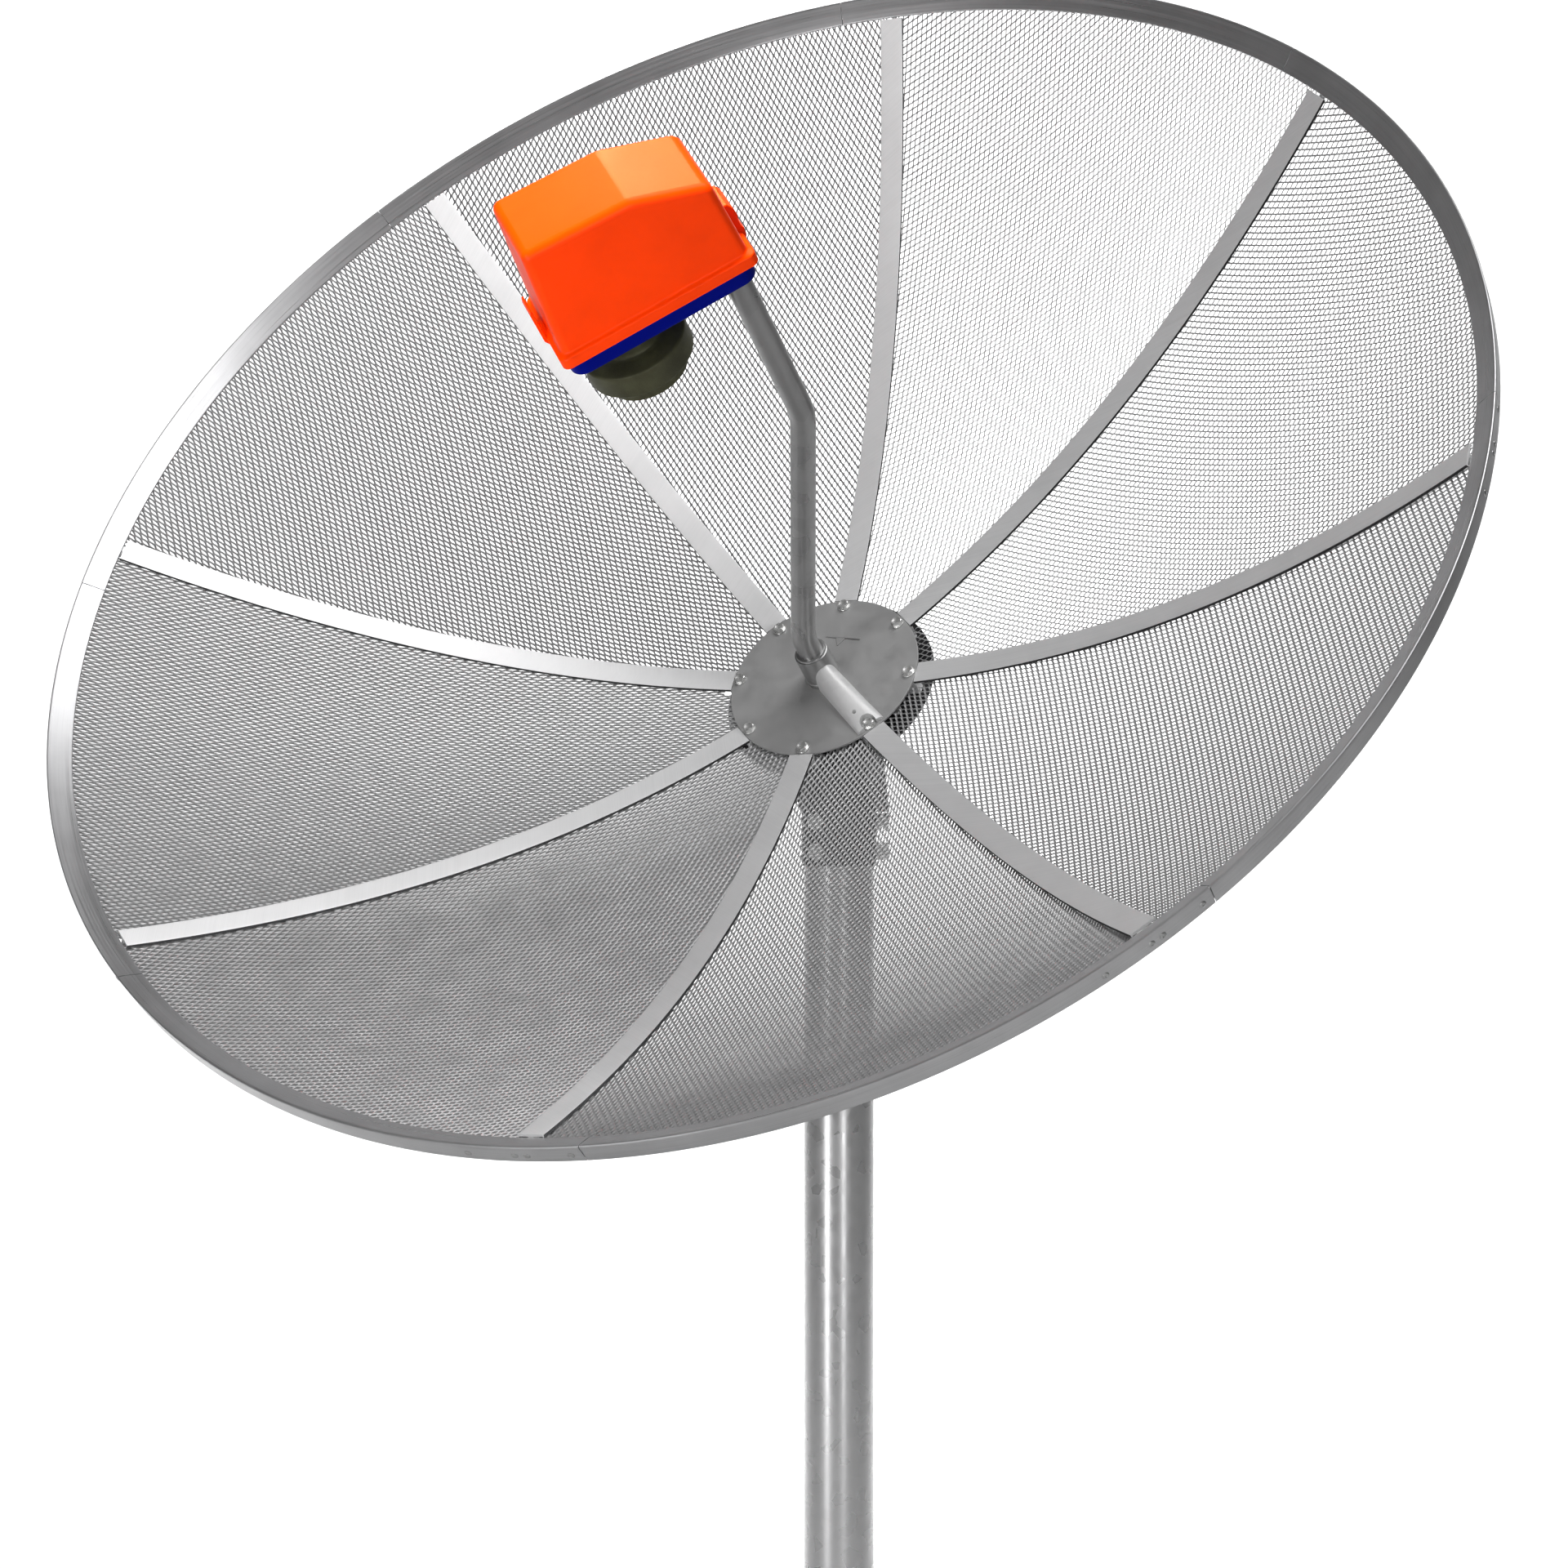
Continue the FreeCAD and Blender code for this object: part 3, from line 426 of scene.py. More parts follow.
# ---------------------------------------------------------------- expanded mesh panels
def expanded_panel():
    """One panel of expanded aluminium, in the frame of its own middle spoke."""
    a1, a2 = np.array([6.13, 1.95]) * MM, np.array([1.73, 6.54]) * MM
    short, long_ = a2, 2 * a1 - a2
    lean, wide, thick, bond = math.radians(42), 2.10 * MM, 0.75 * MM, 1.9 * MM
    i, j = np.meshgrid(np.arange(-60, 190), np.arange(-110, 110), indexing="ij")
    keep_id = -np.ones(i.shape, int)
    pts = i[..., None] * a1 + j[..., None] * a2 + long_ / 2
    r = np.hypot(pts[..., 0], pts[..., 1])
    s, c = math.sin(math.radians(22.5)), math.cos(math.radians(22.5))
    near = np.minimum(pts[..., 0] * s - pts[..., 1] * c, pts[..., 0] * s + pts[..., 1] * c)
    inside = (r > 0.0985) & (r < 0.7425) & (pts[..., 0] > 0) & (
        near > np.where(r < 0.109, 0.0147, 0.0033))
    keep_id[inside] = np.arange(inside.sum())
    base = pts[inside]
    x, y = base[:, 0], base[:, 1]
    z = (x * x + y * y) / (4 * FOCAL)
    gx, gy = x / (2 * FOCAL), y / (2 * FOCAL)
    norm = np.stack([-gx, -gy, np.ones_like(x)], 1)
    norm /= np.linalg.norm(norm, axis=1)[:, None]
    spot = np.stack([x, y, z], 1) - norm * 0.75 * MM

    def tangent(d):
        t = np.stack([np.full_like(x, d[0]), np.full_like(x, d[1]), gx * d[0] + gy * d[1]], 1)
        return t / np.linalg.norm(t, axis=1)[:, None]
    t_long, t_short = tangent(long_), tangent(short)
    across = math.cos(lean) * t_short - math.sin(lean) * norm
    face = math.sin(lean) * t_short + math.cos(lean) * norm
    rows = []
    for side in (0.5, -0.5):
        for v in (-1, 0, 1):
            for u in (-0.5, 0.5):
                rows.append(spot + across * (v * wide) + t_long * (u * bond)
                            + face * (side * thick))
    count = len(base)
    verts = np.stack(rows, 1).reshape(-1, 3)      # 12 per bond: side, v, u
    index = np.arange(count) * 12

    def vid(owner, side, v, u):
        return index[owner] + side * 6 + (v + 1) * 2 + u
    quads = []
    every = np.arange(count)
    for v in (-1, 0):
        quads.append([vid(every, 0, v, 0), vid(every, 0, v, 1), vid(every, 0, v + 1, 1),
                      vid(every, 0, v + 1, 0)])
        quads.append([vid(every, 1, v, 1), vid(every, 1, v, 0), vid(every, 1, v + 1, 0),
                      vid(every, 1, v + 1, 1)])
    quads.append([vid(every, 0, -1, 1), vid(every, 0, -1, 0), vid(every, 1, -1, 0),
                  vid(every, 1, -1, 1)])
    quads.append([vid(every, 0, 1, 0), vid(every, 0, 1, 1), vid(every, 1, 1, 1),
                  vid(every, 1, 1, 0)])
    # strands run to the bonds at +(L+S)/2 = a1 and +(L-S)/2 = a1 - a2
    for step, mine, other in (((1, 0), (0, 1), (-1, 0)), ((1, -1), (-1, 0), (0, 1))):
        there = np.full(keep_id.shape, -1)
        di, dj = step
        src = keep_id[:-1, max(0, -dj):keep_id.shape[1] - max(0, dj)]
        dst = keep_id[1:, max(0, dj):keep_id.shape[1] - max(0, -dj)]
        ok = (src >= 0) & (dst >= 0)
        a, b = src[ok], dst[ok]
        l0, l1 = mine
        m0, m1 = other
        quads.append([vid(a, 0, l0, 1), vid(b, 0, m0, 0), vid(b, 0, m1, 0), vid(a, 0, l1, 1)])
        quads.append([vid(b, 1, m0, 0), vid(a, 1, l0, 1), vid(a, 1, l1, 1), vid(b, 1, m1, 0)])
        quads.append([vid(a, 1, l0, 1), vid(b, 1, m0, 0), vid(b, 0, m0, 0), vid(a, 0, l0, 1)])
        quads.append([vid(a, 0, l1, 1), vid(b, 0, m1, 0), vid(b, 1, m1, 0), vid(a, 1, l1, 1)])
    faces = np.concatenate([np.stack(q, 1) for q in quads])
    mesh = bpy.data.meshes.new("expanded_panel")
    mesh.vertices.add(len(verts))
    mesh.vertices.foreach_set("co", verts.astype(np.float32).ravel())
    mesh.loops.add(faces.size)
    mesh.loops.foreach_set("vertex_index", faces.astype(np.int32).ravel())
    mesh.polygons.add(len(faces))
    mesh.polygons.foreach_set("loop_start", np.arange(0, faces.size, 4, dtype=np.int32))
    mesh.polygons.foreach_set("loop_total", np.full(len(faces), 4, np.int32))
    mesh.update(calc_edges=True)
    mesh.validate()
    print("mesh panel:", count, "bonds,", len(faces) * 2, "triangles")
    return mesh


panel_mesh = expanded_panel()
for k, angle in enumerate(SPOKES):
    sheet = place("mesh_sheet_%d" % k, panel_mesh.copy(), M_MESH, around(angle - 22.5))
    give(sheet, "reflector", "mesh_aluminium", "mesh_panel_%d" % k)


# ---------------------------------------------------------------- ribs
def rib_mesh():
    """A rolled rib: flat face with turned-down edges painted near black as the shade of the gap
    over the mesh, and a web behind, along +X.
    """
    side = [(1.5, -8.5), (1.5, 1.2), (2.4, 2.3), (11.2, 2.5), (11.7, 2.0), (11.8, 1.2),
            (12.9, 1.2), (13.0, 1.6), (13.0, 3.8), (12.85, 4.2), (12.5, 4.35), (9.0, 4.45),
            (0, 4.5)]
    outline = [(-x * MM, y * MM) for x, y in side[:-1]] + [(0, side[-1][1] * MM)]
    outline += [(x * MM, y * MM) for x, y in reversed(side[:-1])]
    outline += [(0.7 * MM, -9 * MM), (-0.7 * MM, -9 * MM)]
    frames = []
    for i in range(73):
        r = 0.1042 + (0.7284 - 0.1042) * i / 72
        slope = math.atan(r / (2 * FOCAL))
        n = Vector((-math.sin(slope), 0, math.cos(slope)))
        out = Vector((math.cos(slope), 0, math.sin(slope)))
        m = Matrix.Identity(4)
        y = Vector((0, -1, 0))
        for row in range(3):
            m[row][0], m[row][1], m[row][2] = y[row], n[row], out[row]
            m[row][3] = (r, 0, bowl(r))[row]
        frames.append(m)
    bag = Bag().add(*sweep(outline, frames))
    # foot between the hub plates
    foot = rounded([(0.0845, -0.00995), (0.1058, -0.00995), (0.1058, 0.0072), (0.0845, 0.0072)],
                   0.0012, 3)
    bag.add(*slab(foot, 0, 0.0260, 0.0008), upright(0.0130))
    # tongue behind the rim, held by the rivets
    low = bowl(0.7285) - 0.0108
    tongue = [(0.7185, low), (0.7450, low + 0.0070), (0.7450, bowl(0.745) - 0.0028),
              (0.7185, bowl(0.7185) - 0.0028)]
    bag.add(*slab(tongue, 0, 0.003, 0), upright(0.0015))
    made = bag.make("rib_bar", M_RIB)
    mesh = made.data
    mesh.materials.append(M_RIB_GAP_SHADE)
    # the flange's turned-down edges get the near-black painted-shade material
    for face in mesh.polygons:
        if abs(face.center.y) > 0.0115 and face.center.x > 0.106 and face.normal.z < 0.5:
            face.material_index = 1
    bpy.data.objects.remove(made)
    return mesh


rib, ribs = rib_mesh(), []
for k, angle in enumerate(SPOKES):
    bar = place("rib_bar_%d" % k, rib.copy(), M_RIB, around(angle))
    ribs.append(give(bar, "reflector", "rib_aluminium", "rib_%d" % k))

# ---------------------------------------------------------------- rim
zi = bowl(RIM_INNER) + RIM_PROUD * math.hypot(1, RIM_INNER / (2 * FOCAL))
zo = bowl(RIM_OUTER) + RIM_PROUD * math.hypot(1, RIM_OUTER / (2 * FOCAL))


def rim_mesh():
    """One rim segment: flange over the mesh edge, rounded corner, outer wall with a hem."""
    prof = [(0.7292, zi - 0.0006), (0.7300, zi + 0.0003), (0.7465, zo - 0.0014),
            (0.7485, zo - 0.0007), (0.7494, zo - 0.0011), (0.7499, zo - 0.0021),
            (0.7499, zo - 0.0195), (0.7500, zo - 0.0205), (0.7497, zo - 0.0217),
            (0.7490, zo - 0.0220), (0.7481, zo - 0.0217), (0.7477, zo - 0.0208),
            (0.7477, zo - 0.0050), (0.7465, zo - 0.0038), (0.7310, zi - 0.0020),
            (0.7296, zi - 0.0024)]
    verts, faces = lathe(prof, 72, arc=(-22.46, 22.46))
    made = finish_mesh("rim_bar", verts, faces, M_RIM, sharp=30)
    mesh = made.data
    bpy.data.objects.remove(made)
    return mesh


rim = rim_mesh()
for k, angle in enumerate(SPOKES):
    bar = place("rim_bar_%d" % k, rim.copy(), M_RIM, around(angle - 22.5 + 4.6))
    give(bar, "reflector", "rim_aluminium", "rim_segment_%d" % k)

bag = Bag()
for angle in SPOKES:
    for step in (-4.0, -0.45, 0.45, 3.7):
        spot = around(angle + step) @ Matrix.Translation((0.74985, 0, zo - 0.0125))
        spot = DISH.inverted() @ spot @ Matrix.Rotation(math.pi / 2, 4, "Y")
        dome = [(0.0034, 0.0), (0.0033, 0.0005), (0.0027, 0.0010), (0.0018, 0.0012),
                (0.0012, 0.00125), (0.0010, 0.0008), (0.0002, 0.0007)]
        bag.add(*solid_turn(dome, 20), spot)
give(bag.make("rim_rivet_heads", M_RIVET, DISH), "reflector", "rivet_aluminium", "rim_rivets")

# ---------------------------------------------------------------- hub
bag = Bag()
prof = [(0.0128, 0.0076), (0.1032, 0.0076), (0.1035, 0.0079), (0.1035, 0.0093), (0.1033, 0.0098),
        (0.1028, 0.0100), (0.0128, 0.0100)]
bag.add(*lathe(prof, 160))
bar = rounded([(-0.0112, 0.0561), (-0.0104, 0.0535), (0.0300, 0.0473), (0.0304, 0.0500)],
              0.0011, 3)
bag.add(*slab(bar, 0.0098, 0.0112, 0.0006))
tri = rounded([(0.0015, 0.0520), (0.0125, 0.0503), (0.0053, 0.0395)], 0.0010, 3)
bag.add(*slab(tri, 0.0098, 0.0109, 0.0005))
give(bag.make("hub_disc", M_PLATE, DISH), "reflector", "grey_paint", "front_hub_plate")

heads, nuts = Bag(), Bag()
for n, angle in enumerate(SPOKES):
    a = math.radians(angle)
    spot = Matrix.Translation((BOLT_CIRCLE * math.cos(a), BOLT_CIRCLE * math.sin(a), 0))
    spot = spot @ Matrix.Rotation(random.uniform(0, 1), 4, "Z")
    heads.add(*washer(0.003, 0.0070, 0.0100, 0.0112), spot)
    heads.add(*hex_block(0.00600, 0.0112, 0.0151, dish=0.0006), spot)
    heads.add(*thread(0.0030, -0.0209, 0.0100, 0.0010, 24), spot)
    nuts.add(*hex_block(0.00600, -0.0180, -0.0131, bore=0.00305, both=True),
             spot @ Matrix.Rotation(0.4, 4, "Z"))
give(heads.make("hub_bolt_set", M_BOLT, DISH, 30), "reflector", "bolt_zinc", "hub_bolts")
give(nuts.make("hub_nut_set", M_BOLT, DISH, 30), "reflector", "bolt_zinc", "hub_nuts")

bag = Bag()
for angle in SPOKES:
    a = math.radians(angle - 22.5)
    spot = Matrix.Translation((0.091 * math.cos(a), 0.091 * math.sin(a), 0))
    dome = [(0.0055, -0.0100), (0.0054, -0.0088), (0.0046, -0.0077), (0.0030, -0.0071),
            (0.0002, -0.0070)]
    bag.add(*solid_turn(dome, 28), spot)
    bag.add(*hex_block(0.0058, -0.0170, -0.0131, bore=0.00305, both=True), spot)
    bag.add(*thread(0.0030, -0.0169, -0.0100, 0.0010, 24), spot)
give(bag.make("back_bolt_set", M_BOLT, DISH, 30), "reflector", "bolt_zinc", "back_bolts")

prof = [(0.0128, 0.0100), (0.0180, 0.0100), (0.0180, 0.0130), (0.0185, 0.0134),
        (0.0189, 0.0142), (0.0190, 0.0152), (0.0188, 0.0162), (0.0184, 0.0168),
        (0.0180, 0.0172), (0.0180, 0.0486), (0.0178, 0.0496), (0.0172, 0.0500),
        (0.0164, 0.0501), (0.0158, 0.0508), (0.0156, 0.0518), (0.0150, 0.0520), (0.0128, 0.0520)]
give(finish_mesh("collar_tube", *lathe(prof, 72), M_ARM, DISH), "reflector", "grey_paint",
     "arm_collar")


def brace_mesh():
    """A half-round saddle from the collar out to the hub bolt, along +X."""
    rows, cols, verts, faces = 34, 28, [], []
    for i in range(rows + 1):
        x = 0.0145 + (0.0990 - 0.0145) * i / rows
        t = (x - 0.012) / 0.087
        half = 0.0135 + (0.0160 - 0.0135) * t
        high = 0.031 + (0.005 - 0.031) * t
        for j in range(cols + 1):
            s = -1 + 2 * j / cols
            arch = math.sqrt(max(0.0, 1 - abs(s) ** 2.4))
            verts.append((x, half * s, 0.0100 + max(0.0, high) * arch * 0.99))
    n = cols + 1
    for i in range(rows):
        for j in range(cols):
            faces.append((i * n + j, i * n + j + 1, (i + 1) * n + j + 1, (i + 1) * n + j))
    low = len(verts)
    verts += [(v[0], v[1], 0.0098) for v in verts]
    for i in range(rows):
        for j in range(cols):
            faces.append((low + i * n + j, low + (i + 1) * n + j, low + (i + 1) * n + j + 1,
                          low + i * n + j + 1))
    for i in range(rows):
        faces.append((i * n, (i + 1) * n, low + (i + 1) * n, low + i * n))
        faces.append((i * n + cols, low + i * n + cols, low + (i + 1) * n + cols,
                      (i + 1) * n + cols))
    for j in range(cols):
        faces.append((j, low + j, low + j + 1, j + 1))
        e = rows * n
        faces.append((e + j, e + j + 1, low + e + j + 1, low + e + j))
    return verts, faces


brace = finish_mesh("brace_saddle", *brace_mesh(), M_BRACE, around(-45), 50)


def carve(obj, matrix, cutters):
    """Takes closed shapes, given in the frame matrix, out of an object."""
    for n, (verts, faces) in enumerate(cutters):
        tool = finish_mesh("tool_%d" % n, verts, faces, None, matrix, 0)
        mod = obj.modifiers.new("carve", "BOOLEAN")
        mod.object, mod.solver = tool, "EXACT"
        bpy.context.view_layer.update()
        graph = bpy.context.evaluated_depsgraph_get()
        mesh = bpy.data.meshes.new_from_object(obj.evaluated_get(graph))
        obj.modifiers.clear()
        old = obj.data
        obj.data = mesh
        mesh.name = old.name
        bpy.data.meshes.remove(old)
        tool_mesh = tool.data
        bpy.data.objects.remove(tool)
        bpy.data.meshes.remove(tool_mesh)
    obj.data.shade_smooth()
    obj.data.set_sharp_from_angle(angle=math.radians(38))
    flat = obj.modifiers.new("flat_faces", "WEIGHTED_NORMAL")
    flat.keep_sharp, flat.weight = True, 100
    return obj


def drill(x, y, radius, low, high, segs=32):
    verts, faces = solid_turn([(radius, low), (radius, high)], segs)
    return [(v[0] + x, v[1] + y, v[2]) for v in verts], faces


carve(brace, around(-45), [drill(0, 0, 0.0181, -0.01, 0.06, 64),
                           drill(BOLT_CIRCLE, 0, 0.0083, -0.01, 0.06),
                           drill(0.0785, -0.0045, 0.0022, -0.01, 0.06, 20)])
give(brace, "reflector", "grey_paint", "arm_brace")


# ---------------------------------------------------------------- feed arm
def arm_path():
    za, zb, x1, bend = 0.073, 0.364, ARM_ASIDE, 0.080
    lean = math.atan2(x1, zb - za)
    back = bend * math.tan(lean / 2)
    pts = [(0, z) for z in np.linspace(0.0085, za - back, 5)]
    for i in range(1, 17):
        a = lean * i / 16
        pts.append((bend * (1 - math.cos(a)), za - back + bend * math.sin(a)))
    end = (x1 - pts[-1][0], zb + back - (pts[-1][1] - (za - back)))
    pts += [(pts[-1][0] + (end[0] - pts[-1][0]) * i / 12,
             pts[-1][1] + (end[1] - pts[-1][1]) * i / 12) for i in range(1, 12)]
    for i in range(17):
        a = lean * (1 - i / 16)
        pts.append((x1 - bend * (1 - math.cos(a)), zb + back - bend * math.sin(a)))
    pts += [(x1, z) for z in np.linspace(zb + back + 0.01, 0.5595, 8)]
    return pts


def tube(path, outer, inner, segs=56):
    verts, faces, n = [], [], segs
    for ring in (outer, inner):
        for i, (x, z) in enumerate(path):
            a, b = path[max(0, i - 1)], path[min(len(path) - 1, i + 1)]
            way = Vector((b[0] - a[0], 0, b[1] - a[1])).normalized()
            side = Vector((0, 1, 0))
            up = way.cross(side)
            for k in range(segs):
                t = 2 * math.pi * k / segs
                v = Vector((x, 0, z)) + side * (ring * math.cos(t)) + up * (ring * math.sin(t))
                verts.append(tuple(v))
    count = len(path)
    for ring in (0, 1):
        base = ring * count * n
        for i in range(count - 1):
            for k in range(n):
                m = (k + 1) % n
                quad = (base + i * n + k, base + i * n + m, base + (i + 1) * n + m,
                        base + (i + 1) * n + k)
                faces.append(quad if ring == 0 else quad[::-1])
    for end in (0, count - 1):
        for k in range(n):
            m = (k + 1) % n
            a, b = end * n, count * n + end * n
            faces.append((a + k, b + k, b + m, a + m))
    return verts, faces


arm = finish_mesh("arm_tube", *tube(arm_path(), ARM_RADIUS, 0.0109), M_ARM, around(ARM_TURN))
give(arm, "reflector", "grey_paint", "feed_arm")

# ---------------------------------------------------------------- feed: tray, horn, low-noise block
MX, MY = 0.022, -0.0037
outline = rounded([(MX - 0.0965, MY - 0.052), (MX + 0.0965, MY - 0.052),
                   (MX + 0.0965, MY + 0.052), (MX - 0.0965, MY + 0.052)], 0.016, 8)
tray = finish_mesh("tray_shell", *slab(outline, 0.0, 0.0188, 0.0030, 4), M_TRAY, TRAY)
turn = math.radians(ARM_TURN - FEED_TURN)
AX, AY = ARM_ASIDE * math.cos(turn), ARM_ASIDE * math.sin(turn)
HX, HY = -0.0105, 0.0077
carve(tray, TRAY, [drill(HX, HY, 0.03306, -0.01, 0.03, 64),
                   drill(AX, AY, 0.01275, -0.01, 0.03, 48)])
give(tray, "reflector", "blue_plastic", "feed_tray")

bag = Bag()
for sx in (-1, 1):
    for sy in (-1, 1):
        x, y = MX + sx * 0.0825, MY + sy * 0.038
        if math.hypot(x - AX, y - AY) > 0.026:
            head = [(0.0042, 0.0), (0.0041, -0.0012), (0.0030, -0.0022), (0.0013, -0.0024),
                    (0.0013, -0.0014), (0.0002, -0.0014)]
            bag.add(*solid_turn(head, 24), Matrix.Translation((x, y, 0)))
give(bag.make("tray_screw_heads", M_BOLT, TRAY), "reflector", "bolt_zinc", "tray_screws")

prof = [(0.0450, 0.4832 + 0.0008), (0.0495, 0.4840), (0.0520, 0.4843), (0.0527, 0.4849),
        (0.0530, 0.4858), (0.0530, 0.5070), (0.0527, 0.5086), (0.0518, 0.5096), (0.0500, 0.5101),
        (0.0380, 0.5135), (0.0345, 0.5150), (0.0333, 0.5170), (0.0330, 0.5200), (0.0330, 0.5750),
        (0.0290, 0.5750), (0.0290, 0.5060), (0.0380, 0.5060), (0.0380, 0.4688), (0.0383, 0.4682),
        (0.0392, 0.4680), (0.0402, 0.4680), (0.0408, 0.4683), (0.0410, 0.4690), (0.0410, 0.5020),
        (0.0470, 0.5020), (0.0475, 0.4850)]
prof[0] = (0.0478, 0.4843)
give(finish_mesh("horn_rings", *lathe(prof, 96), M_HORN, NECK), "feed_lnbf", "cast_grey",
     "scalar_horn")


def lnb():
    """The low-noise block: cast case with a stepped lid, screws and cooling ribs."""
    bag = Bag()
    case = rounded([(-0.025, -0.022), (0.025, -0.022), (0.025, 0.022), (-0.025, 0.022)],
                   0.006, 6)
    bag.add(*slab(case, 0.5751, 0.6400, 0.0012, 3))
    lid = rounded([(-0.0235, -0.0205), (0.0235, -0.0205), (0.0235, 0.0205), (-0.0235, 0.0205)],
                  0.005, 6)
    bag.add(*slab(lid, 0.6395, 0.6560, 0.0015, 3))
    for x in (-0.0185, 0.0185):
        for y in (-0.0155, 0.0155):
            boss = [(0.0030, 0.6550), (0.0030, 0.6566), (0.0026, 0.6570), (0.0010, 0.6570),
                    (0.0010, 0.6563), (0.0002, 0.6563)]
            bag.add(*solid_turn(boss, 20), Matrix.Translation((x, y, 0)))
    for n in range(5):
        y = -0.0096 + n * 0.0048
        bar = rounded([(-0.013, y - 0.0009), (0.013, y - 0.0009), (0.013, y + 0.0009),
                       (-0.013, y + 0.0009)], 0.0008, 2)
        bag.add(*slab(bar, 0.6555, 0.6570, 0.0003, 1))
    return bag


give(lnb().make("lnb_case", M_LNB, NECK), "feed_lnbf", "lnb_paint", "lnb_housing")
bag = Bag()
for y in (-0.011, 0.011):
    spot = Matrix.Translation((-0.0248, y, 0.615)) @ Matrix.Rotation(-math.pi / 2, 4, "Y")
    bag.add(*hex_block(0.0063, 0.0, 0.0040, both=False), spot)
    bag.add(*thread(0.00475, 0.0038, 0.0140, 0.0008, 28), spot)
    bag.add(*lathe([(0.0016, 0.0130), (0.0036, 0.0130), (0.0036, 0.0150), (0.0016, 0.0150)], 24),
            spot)
give(bag.make("f_socket_pair", M_NICKEL, NECK, 30), "feed_lnbf", "nickel", "cable_sockets")


# ---------------------------------------------------------------- rain cover
CL, CW, H, HS, FOLD, BEND, ROOF = 0.097, 0.052, 0.129, 0.096, 0.021, 0.1235, 0.050


def roof_height(x):
    """Height of the roof's middle at x, before rounding."""
    left, right = -CL + 0.010, CL - 0.004
    if x < FOLD:
        return H + (BEND - H) * (x - left) / (FOLD - left)
    return BEND + (HS - BEND) * (x - FOLD) / (right - FOLD)


def cover_shell():
    """The moulded cover: walls that lean in, a folded roof, rounded edges and a flared skirt."""
    bm = bmesh.new()

    def side_at(z, x):
        return CW - (CW - ROOF) * max(0.0, z - 0.014) / (roof_height(x) - 0.014)
    low = [(-CL, 0.0155), (FOLD, 0.0155), (CL, 0.0155)]
    top = [(-CL + 0.010, H), (FOLD, BEND), (CL - 0.004, HS)]
    ring = []
    for x, z in low:
        ring.append((bm.verts.new((x, -CW, z)), bm.verts.new((x, CW, z))))
    cap = []
    for x, z in top:
        cap.append((bm.verts.new((x, -ROOF, z)), bm.verts.new((x, ROOF, z))))
    bm.faces.new((ring[0][0], ring[0][1], cap[0][1], cap[0][0]))
    bm.faces.new((ring[2][1], ring[2][0], cap[2][0], cap[2][1]))
    for i in (0, 1):
        bm.faces.new((ring[i][0], cap[i][0], cap[i + 1][0], ring[i + 1][0]))
        bm.faces.new((ring[i][1], ring[i + 1][1], cap[i + 1][1], cap[i][1]))
        bm.faces.new((cap[i][0], cap[i][1], cap[i + 1][1], cap[i + 1][0]))
    bmesh.ops.recalc_face_normals(bm, faces=bm.faces)
    bm.edges.ensure_lookup_table()
    soft = [e for e in bm.edges if len(e.link_faces) == 2
            and e.calc_face_angle(0) > math.radians(30)]
    bmesh.ops.bevel(bm, geom=soft, offset=0.0085, segments=6, profile=0.5, affect="EDGES",
                    clamp_overlap=True)
    fold = [e for e in bm.edges if len(e.link_faces) == 2
            and math.radians(4) < e.calc_face_angle(0) < math.radians(30)
            and all(abs(v.co.x - FOLD) < 0.004 for v in e.verts)]
    if fold:
        bmesh.ops.bevel(bm, geom=fold, offset=0.004, segments=3, profile=0.5, affect="EDGES",
                        clamp_overlap=True)
    # flare the open edge outward into the skirt
    edge = [e for e in bm.edges if e.is_boundary]
    for out, drop in ((0.0002, 0.0012), (0.0008, 0.0011), (0.0014, 0.0008), (0.0012, 0.0005),
                      (0.0009, 0.0009), (0.0003, 0.0010)):
        made = bmesh.ops.extrude_edge_only(bm, edges=edge)["geom"]
        edge = [g for g in made if isinstance(g, bmesh.types.BMEdge)]
        for v in {v for e in edge for v in e.verts}:
            v.co.x += out * (1 if v.co.x > 0 else -1) * min(1, abs(v.co.x) / 0.085)
            v.co.y += out * (1 if v.co.y > 0 else -1) * min(1, abs(v.co.y) / 0.045)
            v.co.z -= drop
    made = bmesh.ops.extrude_edge_only(bm, edges=edge)["geom"]
    edge = [g for g in made if isinstance(g, bmesh.types.BMEdge)]
    for v in {v for e in edge for v in e.verts}:
        v.co.z = 0.0002
    bmesh.ops.recalc_face_normals(bm, faces=bm.faces)
    mesh = bpy.data.meshes.new("cover_shell")
    bm.to_mesh(mesh)
    bm.free()
    obj = place("cover_shell", mesh, M_COVER, COVER)
    wall = obj.modifiers.new("wall", "SOLIDIFY")
    wall.thickness, wall.offset = 0.0026, -1
    bpy.context.view_layer.update()
    graph = bpy.context.evaluated_depsgraph_get()
    thick = bpy.data.meshes.new_from_object(obj.evaluated_get(graph))
    obj.modifiers.remove(wall)
    obj.data = thick
    thick.shade_smooth()
    thick.set_sharp_from_angle(angle=math.radians(50))
    return obj


cover = cover_shell()
give(cover, "feed_cover", "orange_plastic", "rain_cover")

def clip_housing():
    """The right clip: a bulged housing low on the end wall, with a thumb notch."""
    face = [(CL - 0.0045, 0.0010), (CL + 0.0050, 0.0010), (CL + 0.0078, 0.0060),
            (CL + 0.0084, 0.0140), (CL + 0.0066, 0.0185), (CL + 0.0066, 0.0250),
            (CL + 0.0080, 0.0300), (CL + 0.0066, 0.0400), (CL + 0.0030, 0.0460),
            (CL - 0.0045, 0.0480)]
    face = rounded(face, 0.0018, 3)
    return slab(face, -0.0185, 0.0185, 0.0016, 4)


